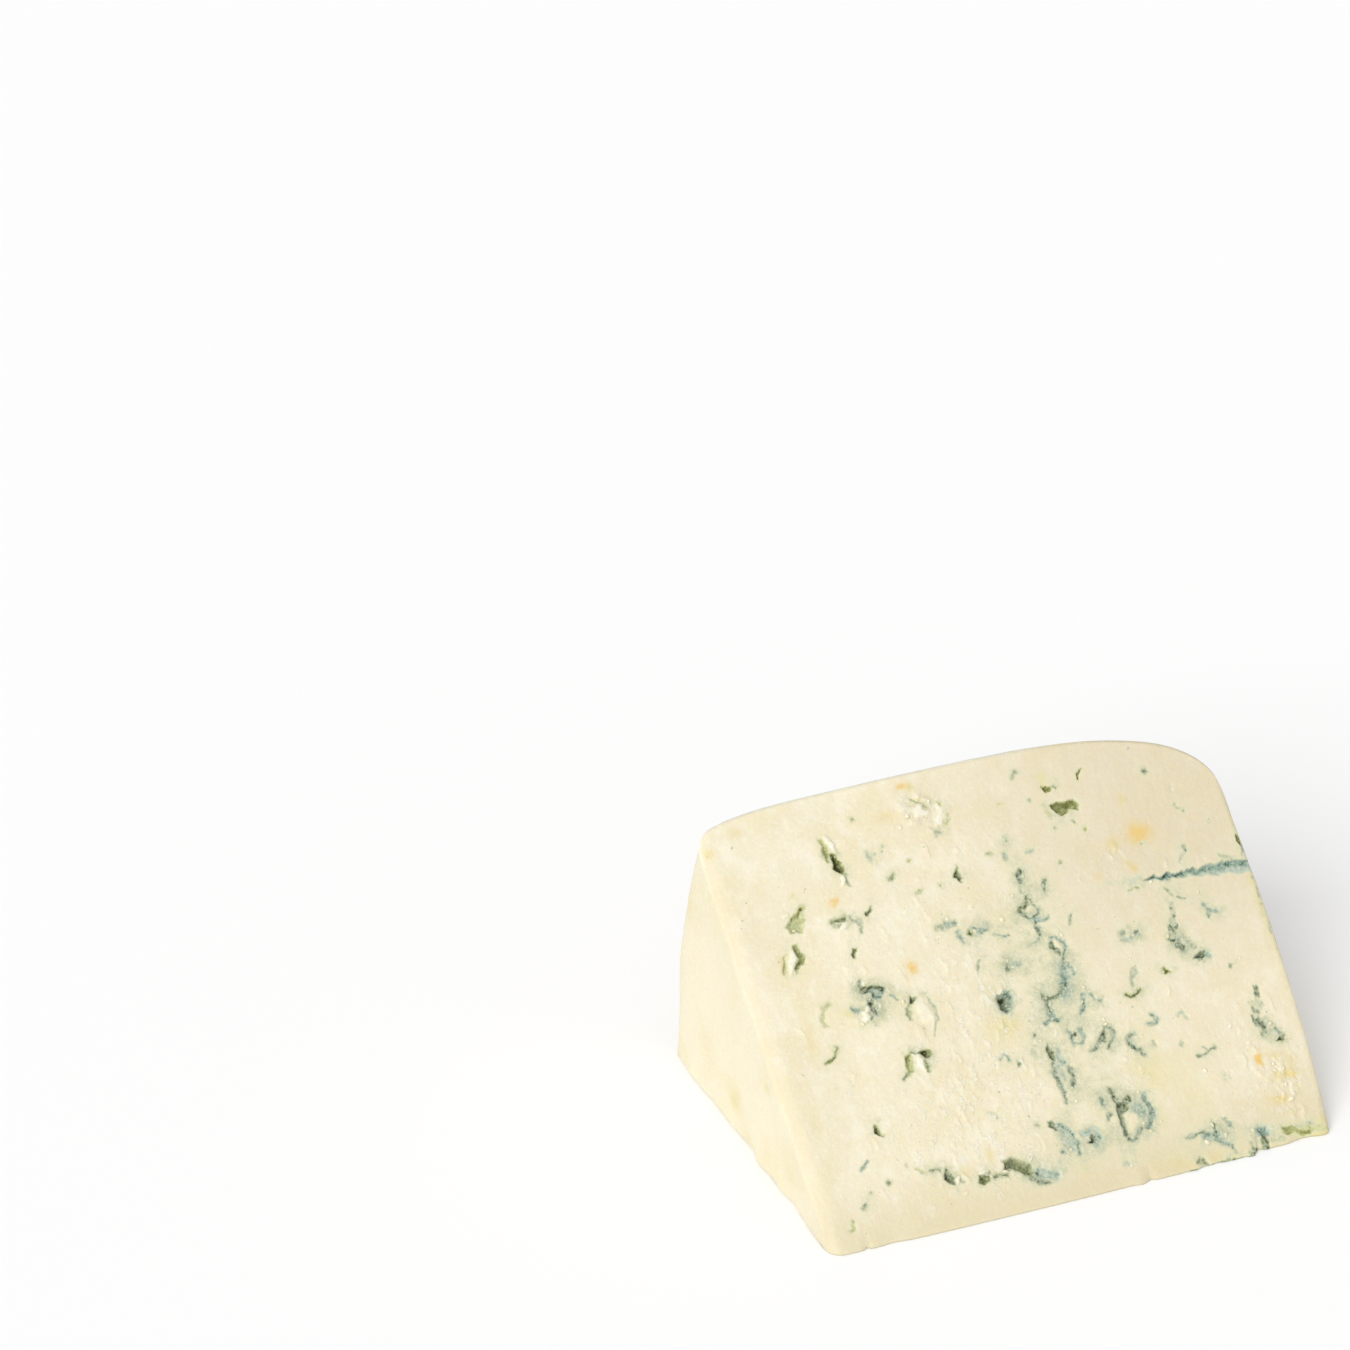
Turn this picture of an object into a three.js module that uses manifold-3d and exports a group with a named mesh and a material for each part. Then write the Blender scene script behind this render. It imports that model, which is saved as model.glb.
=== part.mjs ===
// Blue cheese wedge, lying on one of its two cut faces.
// Millimetres, +Z up. While it is shaped, the thin edge runs along +X from x = 0,
// one cut face lies on z = 0 and runs back along +Y, and the other rises above it.
// At the end it is moved so that the middle of its box stands over the origin.
import * as THREE from 'three';
import { mergeVertices } from 'three/addons/utils/BufferGeometryUtils.js';
import Module from 'manifold-3d';

// Size of the wedge
const WHEEL_HEIGHT = 100;
const WEDGE_ANGLE = THREE.MathUtils.degToRad(40.9);
const UPPER_LENGTH = 84.9;
const LOWER_LENGTH = 75.6;
const RIM_RADIUS = 107;
const THIN_EDGE_RADIUS = 0.4;

// Rounding where the rim meets the wheel's two flat faces: width along X, drop, fullness
const LEFT_ROUNDING = { width: 32, drop: 5.3, fullness: 2.9 };
const RIGHT_ROUNDING = { width: 56, drop: 18.7, fullness: 2.9 };

// Softness of the edges between the cut faces and the flat faces, and the swell of the right one
const LEFT_EDGE_SOFTNESS = 2.6;
const RIGHT_EDGE_SOFTNESS = 1.1;
const RIGHT_SWELL = 2.05;

// The thin edge bows forward a little between its ends, and its two corners are worn round
const THIN_EDGE_BOW = 0.75;
const THIN_CORNER_WEAR = 2.0;

// Chips along the thin edge: middle, half width and bite
const THIN_EDGE_CHIPS = [
  { x: 87.5, reach: 3.2, bite: 0.6 },
  { x: 94.4, reach: 3.4, bite: 1.1 },
  { x: 73.6, reach: 1.8, bite: 0.35 },
  { x: 12.0, reach: 2.4, bite: 0.4 },
];

// Unevenness: height and spacing of the knife's waves, of the rind and of the crumbled low edge
const CUT_WAVE = { height: 0.32, spacing: 13 };
const RIND_WAVE = { height: 0.3, spacing: 11 };
const EDGE_CRUMBLE = { height: 0.55, spacing: 4.6 };

// Points round each cross-section
const UPPER_POINTS = 31;
const RIM_POINTS = 11;
const FLOOR_POINTS = 10;
const TIP_POINTS = 3;
const CAP_RINGS = 5;
const BODY_STEP = 3.3;

const UPPER_DIRECTION = new THREE.Vector3(0, Math.cos(WEDGE_ANGLE), Math.sin(WEDGE_ANGLE));
const UPPER_NORMAL = new THREE.Vector3(0, -Math.sin(WEDGE_ANGLE), Math.cos(WEDGE_ANGLE));

// Pockets on the upper cut face: x along the thin edge, s up the face from it, length, width,
// turn in degrees from X, depth, and for some the size of a pale lump left standing inside
const POCKETS = [
  { x: 70.1, s: 71.9, length: 5.6, width: 2.8, turn: 2, depth: 2.4 },
  { x: 67.8, s: 76.3, length: 2.6, width: 1.9, turn: -10, depth: 1.3 },
  { x: 74.6, s: 77.4, length: 2.2, width: 1.2, turn: 55, depth: 1.0 },
  { x: 24.0, s: 71.8, length: 9.4, width: 2.7, turn: 97, depth: 2.2 },
  { x: 45.9, s: 63.9, length: 3.2, width: 1.9, turn: 78, depth: 1.6 },
  { x: 12.9, s: 62.4, length: 5.2, width: 4.3, turn: 40, depth: 1.7 },
  { x: 10.2, s: 55.8, length: 6.4, width: 4.3, turn: 75, depth: 1.9, lump: 0.45 },
  { x: 27.1, s: 61.5, length: 2.4, width: 1.5, turn: 40, depth: 1.2 },
  { x: 21.8, s: 54.0, length: 2.8, width: 1.5, turn: 100, depth: 1.1 },
  { x: 23.3, s: 45.7, length: 5.6, width: 3.0, turn: -10, depth: 1.6 },
  { x: 22.3, s: 42.9, length: 2.6, width: 1.7, turn: 90, depth: 1.2 },
  { x: 30.8, s: 40.2, length: 9.2, width: 5.2, turn: 103, depth: 1.5, lump: 0.6 },
  { x: 27.0, s: 31.8, length: 6.0, width: 4.6, turn: 10, depth: 1.9, lump: 0.45 },
  { x: 46.9, s: 38.9, length: 4.9, width: 3.4, turn: 75, depth: 2.7 },
  { x: 52.6, s: 25.4, length: 8.6, width: 2.7, turn: 95, depth: 1.4 },
  { x: 52.2, s: 19.0, length: 2.4, width: 1.9, turn: 0, depth: 1.0 },
  { x: 63.4, s: 12.9, length: 10.6, width: 6.8, turn: 80, depth: 1.7, lump: 0.56 },
  { x: 54.8, s: 10.2, length: 3.6, width: 2.9, turn: 40, depth: 1.6 },
  { x: 39.3, s: 8.3, length: 6.2, width: 4.1, turn: -25, depth: 2.4 },
  { x: 33.4, s: 7.8, length: 5.6, width: 2.3, turn: 0, depth: 1.3 },
  { x: 25.8, s: 9.7, length: 4.4, width: 2.4, turn: -60, depth: 1.5 },
  { x: 15.6, s: 21.4, length: 3.6, width: 1.4, turn: 110, depth: 1.2 },
  { x: 77.6, s: 5.2, length: 5.4, width: 2.4, turn: -30, depth: 1.1 },
  { x: 86.8, s: 3.2, length: 4.4, width: 2.8, turn: 10, depth: 1.1 },
  { x: 71.5, s: 34.8, length: 3.4, width: 1.4, turn: 0, depth: 1.1 },
  { x: 86.0, s: 38.8, length: 2.6, width: 1.7, turn: 0, depth: 1.2 },
  { x: 63.3, s: 28.0, length: 3.8, width: 2.5, turn: 60, depth: 1.1 },
  { x: 57.4, s: 37.7, length: 3.6, width: 1.7, turn: 15, depth: 1.0 },
  { x: 101.4, s: 58.2, length: 3.0, width: 1.6, turn: 80, depth: 1.0 },
];

// The needle's channel, laid open by the cut: it runs along X and out through the right face
const CHANNEL = { x: 80.4, s: 55.0, endS: 53.9, radius: 0.95, depth: 0.15 };

// Raised crumbs of paste that cling to the upper cut face
const CRUMBS = [
  { x: 41.6, s: 77.8, size: 1.9 },
  { x: 45.2, s: 76.6, size: 1.6 },
  { x: 37.4, s: 75.4, size: 1.4 },
  { x: 21.2, s: 42.6, size: 1.7 },
  { x: 24.4, s: 41.8, size: 1.4 },
];

// Pockets drawn by chance on the underside
const UNDERSIDE_POCKETS = 7;
const UNDERSIDE_SEED = 41;

// A small repeatable generator of numbers from 0 to 1
function drawer(seed) {
  let state = seed >>> 0;
  return () => {
    state = (state + 0x6d2b79f5) >>> 0;
    let t = state;
    t = Math.imul(t ^ (t >>> 15), t | 1);
    t ^= t + Math.imul(t ^ (t >>> 7), t | 61);
    return ((t ^ (t >>> 14)) >>> 0) / 4294967296;
  };
}

// Value of the lattice point (i, j, k), from -1 to 1
function latticeValue(i, j, k, seed) {
  let h = Math.imul(i, 374761393) ^ Math.imul(j, 668265263) ^ Math.imul(k, 2147483647) ^ Math.imul(seed, 974711);
  h = Math.imul(h ^ (h >>> 13), 1274126177);
  return (((h ^ (h >>> 16)) >>> 0) / 4294967296) * 2 - 1;
}

// Smooth waves in space, from -1 to 1, about `spacing` apart
function waves(point, spacing, seed) {
  const cell = [point.x / spacing, point.y / spacing, point.z / spacing];
  const base = cell.map(Math.floor);
  const ease = cell.map((value, axis) => {
    const part = value - base[axis];
    return part * part * (3 - 2 * part);
  });
  let sum = 0;
  for (let corner = 0; corner < 8; corner += 1) {
    const step = [corner & 1, (corner >> 1) & 1, (corner >> 2) & 1];
    const share = step.reduce((product, up, axis) => product * (up ? ease[axis] : 1 - ease[axis]), 1);
    sum += share * latticeValue(base[0] + step[0], base[1] + step[1], base[2] + step[2], seed);
  }
  return sum;
}

// Centre of the rim's arc in a cross-section, from the far ends of both cut faces
function rimCentre() {
  const low = new THREE.Vector2(LOWER_LENGTH, 0);
  const high = new THREE.Vector2(Math.cos(WEDGE_ANGLE), Math.sin(WEDGE_ANGLE)).multiplyScalar(UPPER_LENGTH);
  const middle = low.clone().add(high).multiplyScalar(0.5);
  const chord = high.clone().sub(low);
  const rise = Math.sqrt(RIM_RADIUS ** 2 - chord.lengthSq() / 4);
  const inward = new THREE.Vector2(-chord.y, chord.x).normalize();
  return middle.add(inward.multiplyScalar(rise));
}

const RIM_CENTRE = rimCentre();

// How far the rim has dropped at x because of the rounding towards each flat face
function rimDrop(x) {
  const fall = (distance, { width, drop, fullness }) => {
    const share = THREE.MathUtils.clamp(1 - distance / width, 0, 1);
    return drop * (1 - (1 - share ** fullness) ** (1 / fullness));
  };
  return fall(x, LEFT_ROUNDING) + fall(WHEEL_HEIGHT - x, RIGHT_ROUNDING);
}

// How far an edge of the given softness has drawn back at a distance from its flat face
function edgeDrawback(distance, softness) {
  if (distance >= softness) return 0;
  return softness - Math.sqrt(softness ** 2 - (softness - distance) ** 2);
}

// How deep the chips bite into the thin edge at x
function thinEdgeChip(x) {
  return THIN_EDGE_CHIPS.reduce((sum, chip) => sum + chip.bite * Math.exp(-(((x - chip.x) / chip.reach) ** 2)), 0);
}

// Closed outline of the cross-section at x, each point with its outward direction
function crossSection(x) {
  const radius = RIM_RADIUS - rimDrop(x);
  const along = new THREE.Vector2(Math.cos(WEDGE_ANGLE), Math.sin(WEDGE_ANGLE));
  const reach = along.dot(RIM_CENTRE);
  const upperEnd = reach + Math.sqrt(radius ** 2 - RIM_CENTRE.lengthSq() + reach ** 2);
  const lowerEnd = RIM_CENTRE.x + Math.sqrt(radius ** 2 - RIM_CENTRE.y ** 2);
  const tangent = THIN_EDGE_RADIUS / Math.tan(WEDGE_ANGLE / 2);
  const outline = [];
  for (let i = 0; i < FLOOR_POINTS; i += 1) {
    const y = THREE.MathUtils.lerp(tangent, lowerEnd, i / FLOOR_POINTS);
    outline.push({ y, z: 0, ny: 0, nz: -1, face: 'floor' });
  }
  const low = Math.atan2(-RIM_CENTRE.y, lowerEnd - RIM_CENTRE.x);
  const high = Math.atan2(along.y * upperEnd - RIM_CENTRE.y, along.x * upperEnd - RIM_CENTRE.x);
  for (let i = 0; i < RIM_POINTS; i += 1) {
    const turn = THREE.MathUtils.lerp(low, high, i / RIM_POINTS);
    const ny = Math.cos(turn);
    const nz = Math.sin(turn);
    outline.push({ y: RIM_CENTRE.x + radius * ny, z: RIM_CENTRE.y + radius * nz, ny, nz, face: 'rim' });
  }
  for (let i = 0; i < UPPER_POINTS; i += 1) {
    const s = THREE.MathUtils.lerp(upperEnd, tangent, i / UPPER_POINTS);
    outline.push({ y: along.x * s, z: along.y * s, ny: -along.y, nz: along.x, face: 'upper' });
  }
  for (let i = 0; i < TIP_POINTS; i += 1) {
    const turn = THREE.MathUtils.lerp(Math.PI / 2 + WEDGE_ANGLE, (3 * Math.PI) / 2, i / TIP_POINTS);
    const ny = Math.cos(turn);
    const nz = Math.sin(turn);
    const y = tangent + THIN_EDGE_RADIUS * ny;
    outline.push({ y, z: THIN_EDGE_RADIUS * (1 + nz), ny, nz, face: 'tip' });
  }
  return outline;
}

// A place on the wedge after softening, swelling and unevenness
function shapedPoint(x, spot, inward) {
  const fromTip = Math.hypot(spot.y, spot.z);
  const share = THREE.MathUtils.clamp(fromTip / UPPER_LENGTH, 0, 1);
  const fade = THREE.MathUtils.smoothstep(fromTip, 0, 18);
  let { y, z } = spot;
  const softness = spot.face === 'floor' ? 0.35 : 1;
  const drawback =
    edgeDrawback(x, LEFT_EDGE_SOFTNESS) + edgeDrawback(WHEEL_HEIGHT - x, RIGHT_EDGE_SOFTNESS);
  const sink = inward ? 0 : drawback * softness * (0.12 + 0.88 * fade);
  const place = new THREE.Vector3(x, y, z);
  let lift = 0;
  if (spot.face === 'upper') lift = CUT_WAVE.height * waves(place, CUT_WAVE.spacing, 3) * fade;
  if (spot.face === 'rim') lift = RIND_WAVE.height * waves(place, RIND_WAVE.spacing, 7);
  y += spot.ny * (lift - sink);
  z += spot.nz * (lift - sink);
  const bow = THIN_EDGE_BOW * 4 * (x / WHEEL_HEIGHT) * (1 - x / WHEEL_HEIGHT);
  const wear = edgeDrawback(x, THIN_CORNER_WEAR) + edgeDrawback(WHEEL_HEIGHT - x, THIN_CORNER_WEAR);
  y += (1 - fade) * (wear - bow) + (1 - THREE.MathUtils.smoothstep(fromTip, 0, 5)) * thinEdgeChip(x);
  const swell = RIGHT_SWELL * 4 * share * (1 - share) * THREE.MathUtils.smoothstep(x, 70, WHEEL_HEIGHT);
  const nearFlatFace = 1 - THREE.MathUtils.smoothstep(x, 0, 9);
  const nearFloor = 1 - THREE.MathUtils.smoothstep(z, 0, 5);
  const rind = RIND_WAVE.height * waves(new THREE.Vector3(0, y, z), RIND_WAVE.spacing, 19);
  const crumble = EDGE_CRUMBLE.height * waves(new THREE.Vector3(0, y, z), EDGE_CRUMBLE.spacing, 23);
  return new THREE.Vector3(x + swell + nearFlatFace * (rind * fade + crumble * nearFloor), y, Math.max(z, 0));
}

// Stations along X, close together where the ends are rounded
function stations() {
  const left = [0, 0.12, 0.5, 1.3, 2.6, 4.5, 7];
  const right = [93.5, 95.8, 97.6, 98.8, 99.5, 99.88, WHEEL_HEIGHT];
  const start = left[left.length - 1];
  const count = Math.round((right[0] - start) / BODY_STEP);
  const middle = Array.from({ length: count - 1 }, (_, i) => THREE.MathUtils.lerp(start, right[0], (i + 1) / count));
  return [...left, ...middle, ...right];
}

// Loops of points along X, closed at both ends by rings that shrink to a point
function wedgeBody() {
  const points = [];
  const faces = [];
  const loops = [];
  const addLoop = (outline) => {
    loops.push(outline.map((point) => points.push(point) - 1));
  };
  const ring = (x, share) => {
    const outline = crossSection(x);
    const edge = outline.map((spot) => shapedPoint(x, spot, false));
    const middleY = LOWER_LENGTH * 0.62;
    const middleZ = middleY * Math.tan(WEDGE_ANGLE / 2);
    return edge.map((point, i) => {
      const spot = {
        y: THREE.MathUtils.lerp(point.y, middleY, share),
        z: THREE.MathUtils.lerp(point.z, middleZ, share),
        ny: outline[i].ny,
        nz: outline[i].nz,
        face: 'flat',
      };
      return shapedPoint(x, spot, true);
    });
  };
  for (let i = CAP_RINGS - 1; i > 0; i -= 1) addLoop(ring(0, i / CAP_RINGS));
  for (const x of stations()) addLoop(crossSection(x).map((spot) => shapedPoint(x, spot, false)));
  for (let i = 1; i < CAP_RINGS; i += 1) addLoop(ring(WHEEL_HEIGHT, i / CAP_RINGS));
  for (let row = 0; row + 1 < loops.length; row += 1) {
    const here = loops[row];
    const next = loops[row + 1];
    here.forEach((a, i) => {
      const j = (i + 1) % here.length;
      faces.push(a, here[j], next[i], here[j], next[j], next[i]);
    });
  }
  const close = (loop, x, flip) => {
    const centre = ring(x, 1)[0];
    const middle = points.push(centre) - 1;
    loop.forEach((a, i) => {
      const b = loop[(i + 1) % loop.length];
      faces.push(...(flip ? [middle, b, a] : [middle, a, b]));
    });
  };
  close(loops[0], 0, true);
  close(loops[loops.length - 1], WHEEL_HEIGHT, false);
  return { points, faces };
}

const kernel = await Module();
kernel.setup();

// A closed solid from points and triangles, turned right side out
function solidFrom(points, faces) {
  let volume = 0;
  for (let i = 0; i < faces.length; i += 3) {
    const [a, b, c] = [points[faces[i]], points[faces[i + 1]], points[faces[i + 2]]];
    volume += a.dot(b.clone().cross(c));
  }
  const triangles = Uint32Array.from(faces);
  if (volume < 0) {
    for (let i = 0; i < triangles.length; i += 3) triangles.subarray(i, i + 3).reverse();
  }
  const places = Float32Array.from(points.flatMap((point) => point.toArray()));
  return new kernel.Manifold(new kernel.Mesh({ numProp: 3, vertProperties: places, triVerts: triangles }));
}

// A lumpy ball stretched to three half sizes and set in a frame of three directions
function lumpyBall(centre, frame, halfSizes, seed, detail) {
  const ball = new THREE.IcosahedronGeometry(1, detail);
  ball.deleteAttribute('normal');
  ball.deleteAttribute('uv');
  const merged = mergeVertices(ball, 1e-5);
  const places = merged.getAttribute('position');
  const points = [];
  for (let i = 0; i < places.count; i += 1) {
    const local = new THREE.Vector3().fromBufferAttribute(places, i);
    const swell = 1 + 0.26 * waves(local, 0.75, seed);
    const point = centre.clone();
    frame.forEach((direction, axis) => {
      point.addScaledVector(direction, local.getComponent(axis) * halfSizes[axis] * swell);
    });
    points.push(point);
  }
  return solidFrom(points, Array.from(merged.getIndex().array));
}

// Length, width and inward direction of a mark on a face
function markFrame(along, across, normal, turn) {
  const angle = THREE.MathUtils.degToRad(turn);
  const first = along.clone().multiplyScalar(Math.cos(angle)).addScaledVector(across, Math.sin(angle));
  return [first, normal.clone().cross(first).normalize(), normal];
}

const X_AXIS = new THREE.Vector3(1, 0, 0);

function onUpperFace(x, s, depth) {
  return new THREE.Vector3(x, 0, 0).addScaledVector(UPPER_DIRECTION, s).addScaledVector(UPPER_NORMAL, -depth);
}

// The hollow left by one pocket: a lumpy ball, less the lump that stays standing in it
function pocketHollow(pocket, index) {
  const frame = markFrame(X_AXIS, UPPER_DIRECTION, UPPER_NORMAL, pocket.turn);
  const centre = onUpperFace(pocket.x, pocket.s, pocket.depth * 0.12);
  const halfSizes = [pocket.length / 2, pocket.width / 2, pocket.depth * 0.88];
  const hollow = lumpyBall(centre, frame, halfSizes, 100 + index, pocket.length > 4.2 ? 2 : 1);
  if (!pocket.lump) return hollow;
  const standing = halfSizes.map((size) => size * pocket.lump);
  standing[2] = pocket.depth * 0.85;
  const lumpCentre = onUpperFace(pocket.x - 0.3, pocket.s + 0.4, pocket.depth);
  return hollow.subtract(lumpyBall(lumpCentre, frame, standing, 200 + index, 1));
}

function undersideHollows() {
  const draw = drawer(UNDERSIDE_SEED);
  const frameNormal = new THREE.Vector3(0, 0, -1);
  const back = new THREE.Vector3(0, 1, 0);
  return Array.from({ length: UNDERSIDE_POCKETS }, (_, index) => {
    const centre = new THREE.Vector3(14 + 72 * draw(), 14 + 46 * draw(), 0.1);
    const frame = markFrame(X_AXIS, back, frameNormal, 180 * draw());
    const length = 1.6 + 1.8 * draw();
    return lumpyBall(centre, frame, [length, length * 0.6, 0.9 + 0.8 * draw()], 300 + index, 1);
  });
}

// The channel as a lumpy rod with a rounded inner end
function channelHollow() {
  const rod = new THREE.CapsuleGeometry(CHANNEL.radius, 26, 2, 8, 9);
  rod.deleteAttribute('normal');
  rod.deleteAttribute('uv');
  const merged = mergeVertices(rod, 1e-4);
  const places = merged.getAttribute('position');
  const start = onUpperFace(CHANNEL.x, CHANNEL.s, CHANNEL.depth);
  const slope = (CHANNEL.endS - CHANNEL.s) / (WHEEL_HEIGHT - CHANNEL.x);
  const direction = X_AXIS.clone().addScaledVector(UPPER_DIRECTION, slope).normalize();
  const side = UPPER_NORMAL.clone().cross(direction).normalize();
  const points = [];
  for (let i = 0; i < places.count; i += 1) {
    const local = new THREE.Vector3().fromBufferAttribute(places, i);
    const along = local.y + 13 + CHANNEL.radius;
    const swell = 0.85 + 0.3 * waves(new THREE.Vector3(along, local.x, local.z), 2.2, 61);
    const point = start.clone().addScaledVector(direction, along);
    point.addScaledVector(side, local.x * swell).addScaledVector(UPPER_NORMAL, local.z * swell);
    points.push(point);
  }
  return solidFrom(points, Array.from(merged.getIndex().array));
}

function crumbLump(crumb, index) {
  const frame = markFrame(X_AXIS, UPPER_DIRECTION, UPPER_NORMAL, 50 * index);
  const centre = onUpperFace(crumb.x, crumb.s, crumb.size * 0.12);
  return lumpyBall(centre, frame, [crumb.size, crumb.size * 0.6, crumb.size * 0.38], 400 + index, 1);
}

function wedgeSolid() {
  const body = wedgeBody();
  let solid = solidFrom(body.points, body.faces);
  CRUMBS.forEach((crumb, index) => {
    solid = solid.add(crumbLump(crumb, index));
  });
  const hollows = [...POCKETS.map(pocketHollow), ...undersideHollows(), channelHollow()];
  for (const hollow of hollows) solid = solid.subtract(hollow);
  return solid;
}

const shape = wedgeSolid().getMesh();
const geometry = new THREE.BufferGeometry();
geometry.setAttribute('position', new THREE.BufferAttribute(Float32Array.from(shape.vertProperties), 3));
geometry.setIndex(Array.from(shape.triVerts));
geometry.computeBoundingBox();
const { min, max } = geometry.boundingBox;
geometry.translate(-(min.x + max.x) / 2, -(min.y + max.y) / 2, -min.z);
geometry.computeVertexNormals();

const paste = new THREE.MeshStandardMaterial({ name: 'blue_cheese_paste', color: 0xf3ebcd, roughness: 0.55 });
const wedge = new THREE.Mesh(geometry, paste);
wedge.name = 'cheese_wedge';

const part = new THREE.Group();
part.name = 'blue_cheese_wedge';
part.add(wedge);

export default part;
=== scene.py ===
# %% [markdown]
# # A wedge of blue cheese
#
# The wedge lies on one of its two cut faces. The other cut face looks up at us and shows
# what makes this cheese: open pockets lined with mould, blue-grey veins, and a channel
# that a needle left when it let air into the young wheel. The smooth face on the left and
# the curved face at the back are the outside of the wheel. The solid part gives the
# size and the large form, and this lesson adds what is too fine for it.

import math

import bpy
import numpy as np
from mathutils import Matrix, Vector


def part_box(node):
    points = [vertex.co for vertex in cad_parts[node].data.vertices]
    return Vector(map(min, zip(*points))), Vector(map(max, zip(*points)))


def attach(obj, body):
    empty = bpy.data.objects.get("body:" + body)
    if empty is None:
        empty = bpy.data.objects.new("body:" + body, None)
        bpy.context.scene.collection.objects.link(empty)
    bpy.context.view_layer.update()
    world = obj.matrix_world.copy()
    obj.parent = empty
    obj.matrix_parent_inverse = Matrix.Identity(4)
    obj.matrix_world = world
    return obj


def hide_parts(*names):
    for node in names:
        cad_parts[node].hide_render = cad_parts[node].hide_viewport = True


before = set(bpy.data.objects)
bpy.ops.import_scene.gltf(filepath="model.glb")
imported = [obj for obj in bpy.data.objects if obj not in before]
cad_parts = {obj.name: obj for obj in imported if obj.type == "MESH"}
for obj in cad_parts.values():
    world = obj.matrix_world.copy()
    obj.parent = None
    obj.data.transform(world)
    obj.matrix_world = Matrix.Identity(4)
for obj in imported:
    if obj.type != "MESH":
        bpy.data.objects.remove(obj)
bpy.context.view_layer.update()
box_low, box_high = (np.array(corner) * 1000 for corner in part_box("cheese_wedge"))
print("solid part, mm:", np.round(box_high - box_low, 2))

# %% [markdown]
# ## The sizes of the wedge
#
# The thin edge of a wedge is as long as the wheel is high. Two knife cuts, about forty
# degrees apart, give the two flat cut faces. The rest comes from the wheel: a curved rim,
# and two roundings where the rim turns into the wheel's flat faces. The right one is much
# larger, because young wheels slump and are turned over only now and then. A rounding is
# its width, its drop and its fullness. A chip is its place along the thin edge, its half
# width and its depth, and a depth below nought is a crumb of paste that still sticks out.

# %% Name the sizes
WHEEL_HEIGHT = 100.0
WEDGE_ANGLE = math.radians(40.9)
UPPER_LENGTH = 84.9
LOWER_LENGTH = 75.6
RIM_RADIUS = 107.0
THIN_EDGE_RADIUS = 0.4
LEFT_ROUNDING = (32.0, 4.7, 2.9)
RIGHT_ROUNDING = (56.0, 18.7, 2.9)
LEFT_EDGE_SOFTNESS = 2.3
RIGHT_EDGE_SOFTNESS = 1.1
RIGHT_SWELL = 2.05
THIN_EDGE_BOW = 0.75
THIN_CORNER_WEAR = 2.0
FLOOR_SOFTNESS = 0.35
CORNER_SLIDE = 1.28
CUT_WAVE = (0.32, 13.0)
RIND_WAVE = (0.3, 11.0)
EDGE_CRUMBLE = (0.55, 4.6)
THIN_EDGE_CHIPS = ((87.5, 3.2, 0.6), (94.4, 3.4, 1.1), (73.6, 1.8, 0.35), (12.0, 2.4, 0.4))
SMALL_CHIPS = (
    (85.2, 0.7, 1.0),
    (83.6, 0.9, -0.55),
    (76.6, 1.1, 0.4),
    (72.3, 0.8, -0.4),
    (62.9, 0.8, 0.55),
    (61.1, 0.9, -0.5),
    (6.7, 0.5, 0.7),
)

ALONG_CUT = np.array([0.0, math.cos(WEDGE_ANGLE), math.sin(WEDGE_ANGLE)])
OUT_OF_CUT = np.array([0.0, -math.sin(WEDGE_ANGLE), math.cos(WEDGE_ANGLE)])
print("cut faces, mm:", UPPER_LENGTH, "and", LOWER_LENGTH)

# %% [markdown]
# ## Unevenness that can be repeated
#
# Nothing on a cheese is quite flat. One function gives soft waves in space from a lattice
# of numbers drawn by a fixed rule, so the same wedge comes out each time. A second one
# eases from nought to one between two limits, and is used for every soft edge below.


# %% Waves and soft steps
def lattice_value(i, j, k, seed):
    primes = (374761393, 668265263, 2147483647)
    parts = [np.asarray(n, dtype=np.int64) * prime for n, prime in zip((i, j, k), primes)]
    mixed = (parts[0] ^ parts[1] ^ parts[2] ^ (seed * 974711)) & 0xFFFFFFFF
    mixed = ((mixed ^ (mixed >> 13)) * 1274126177) & 0xFFFFFFFF
    return (mixed ^ (mixed >> 16)) / 4294967296 * 2 - 1


def waves(points, spacing, seed):
    cell = np.asarray(points, dtype=float) / spacing
    base = np.floor(cell).astype(np.int64)
    part = cell - base
    ease = part * part * (3 - 2 * part)
    total = np.zeros(len(cell))
    for corner in range(8):
        step = [corner & 1, (corner >> 1) & 1, (corner >> 2) & 1]
        share = np.ones(len(cell))
        for axis in range(3):
            share = share * (ease[:, axis] if step[axis] else 1 - ease[:, axis])
        total += share * lattice_value(*(base[:, axis] + step[axis] for axis in range(3)), seed)
    return total


def soft_step(value, start, end):
    share = np.clip((value - start) / (end - start), 0, 1)
    return share * share * (3 - 2 * share)


sample = waves(np.random.default_rng(1).uniform(0, 50, (2000, 3)), 5.0, 3)
print("waves run from", round(sample.min(), 2), "to", round(sample.max(), 2))

# %% [markdown]
# ## One slice through the wedge
#
# A slice across the thin edge is a narrow triangle with one curved side. It is drawn as a
# closed line of points: back along the underside, up the rim, down the cut face and round
# the thin edge. The rim's arc passes through the far ends of both cut faces. Towards each
# side of the wheel the arc drops, and that gives the rounded shoulders. Each point also
# keeps the way that its face looks, the face that it is on, and a slide: the way that it
# gives near a corner, so that corners round off evenly.


# %% The slice's outline
def rim_centre():
    low = np.array([LOWER_LENGTH, 0.0])
    high = UPPER_LENGTH * ALONG_CUT[1:]
    chord = high - low
    rise = math.sqrt(RIM_RADIUS**2 - chord @ chord / 4)
    return (low + high) / 2 + rise * np.array([-chord[1], chord[0]]) / np.linalg.norm(chord)


def rim_drop(x):
    total = 0.0
    for distance, (width, drop, fullness) in ((x, LEFT_ROUNDING), (WHEEL_HEIGHT - x, RIGHT_ROUNDING)):
        share = min(max(1 - distance / width, 0.0), 1.0)
        total += drop * (1 - (1 - share**fullness) ** (1 / fullness))
    return total


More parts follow.
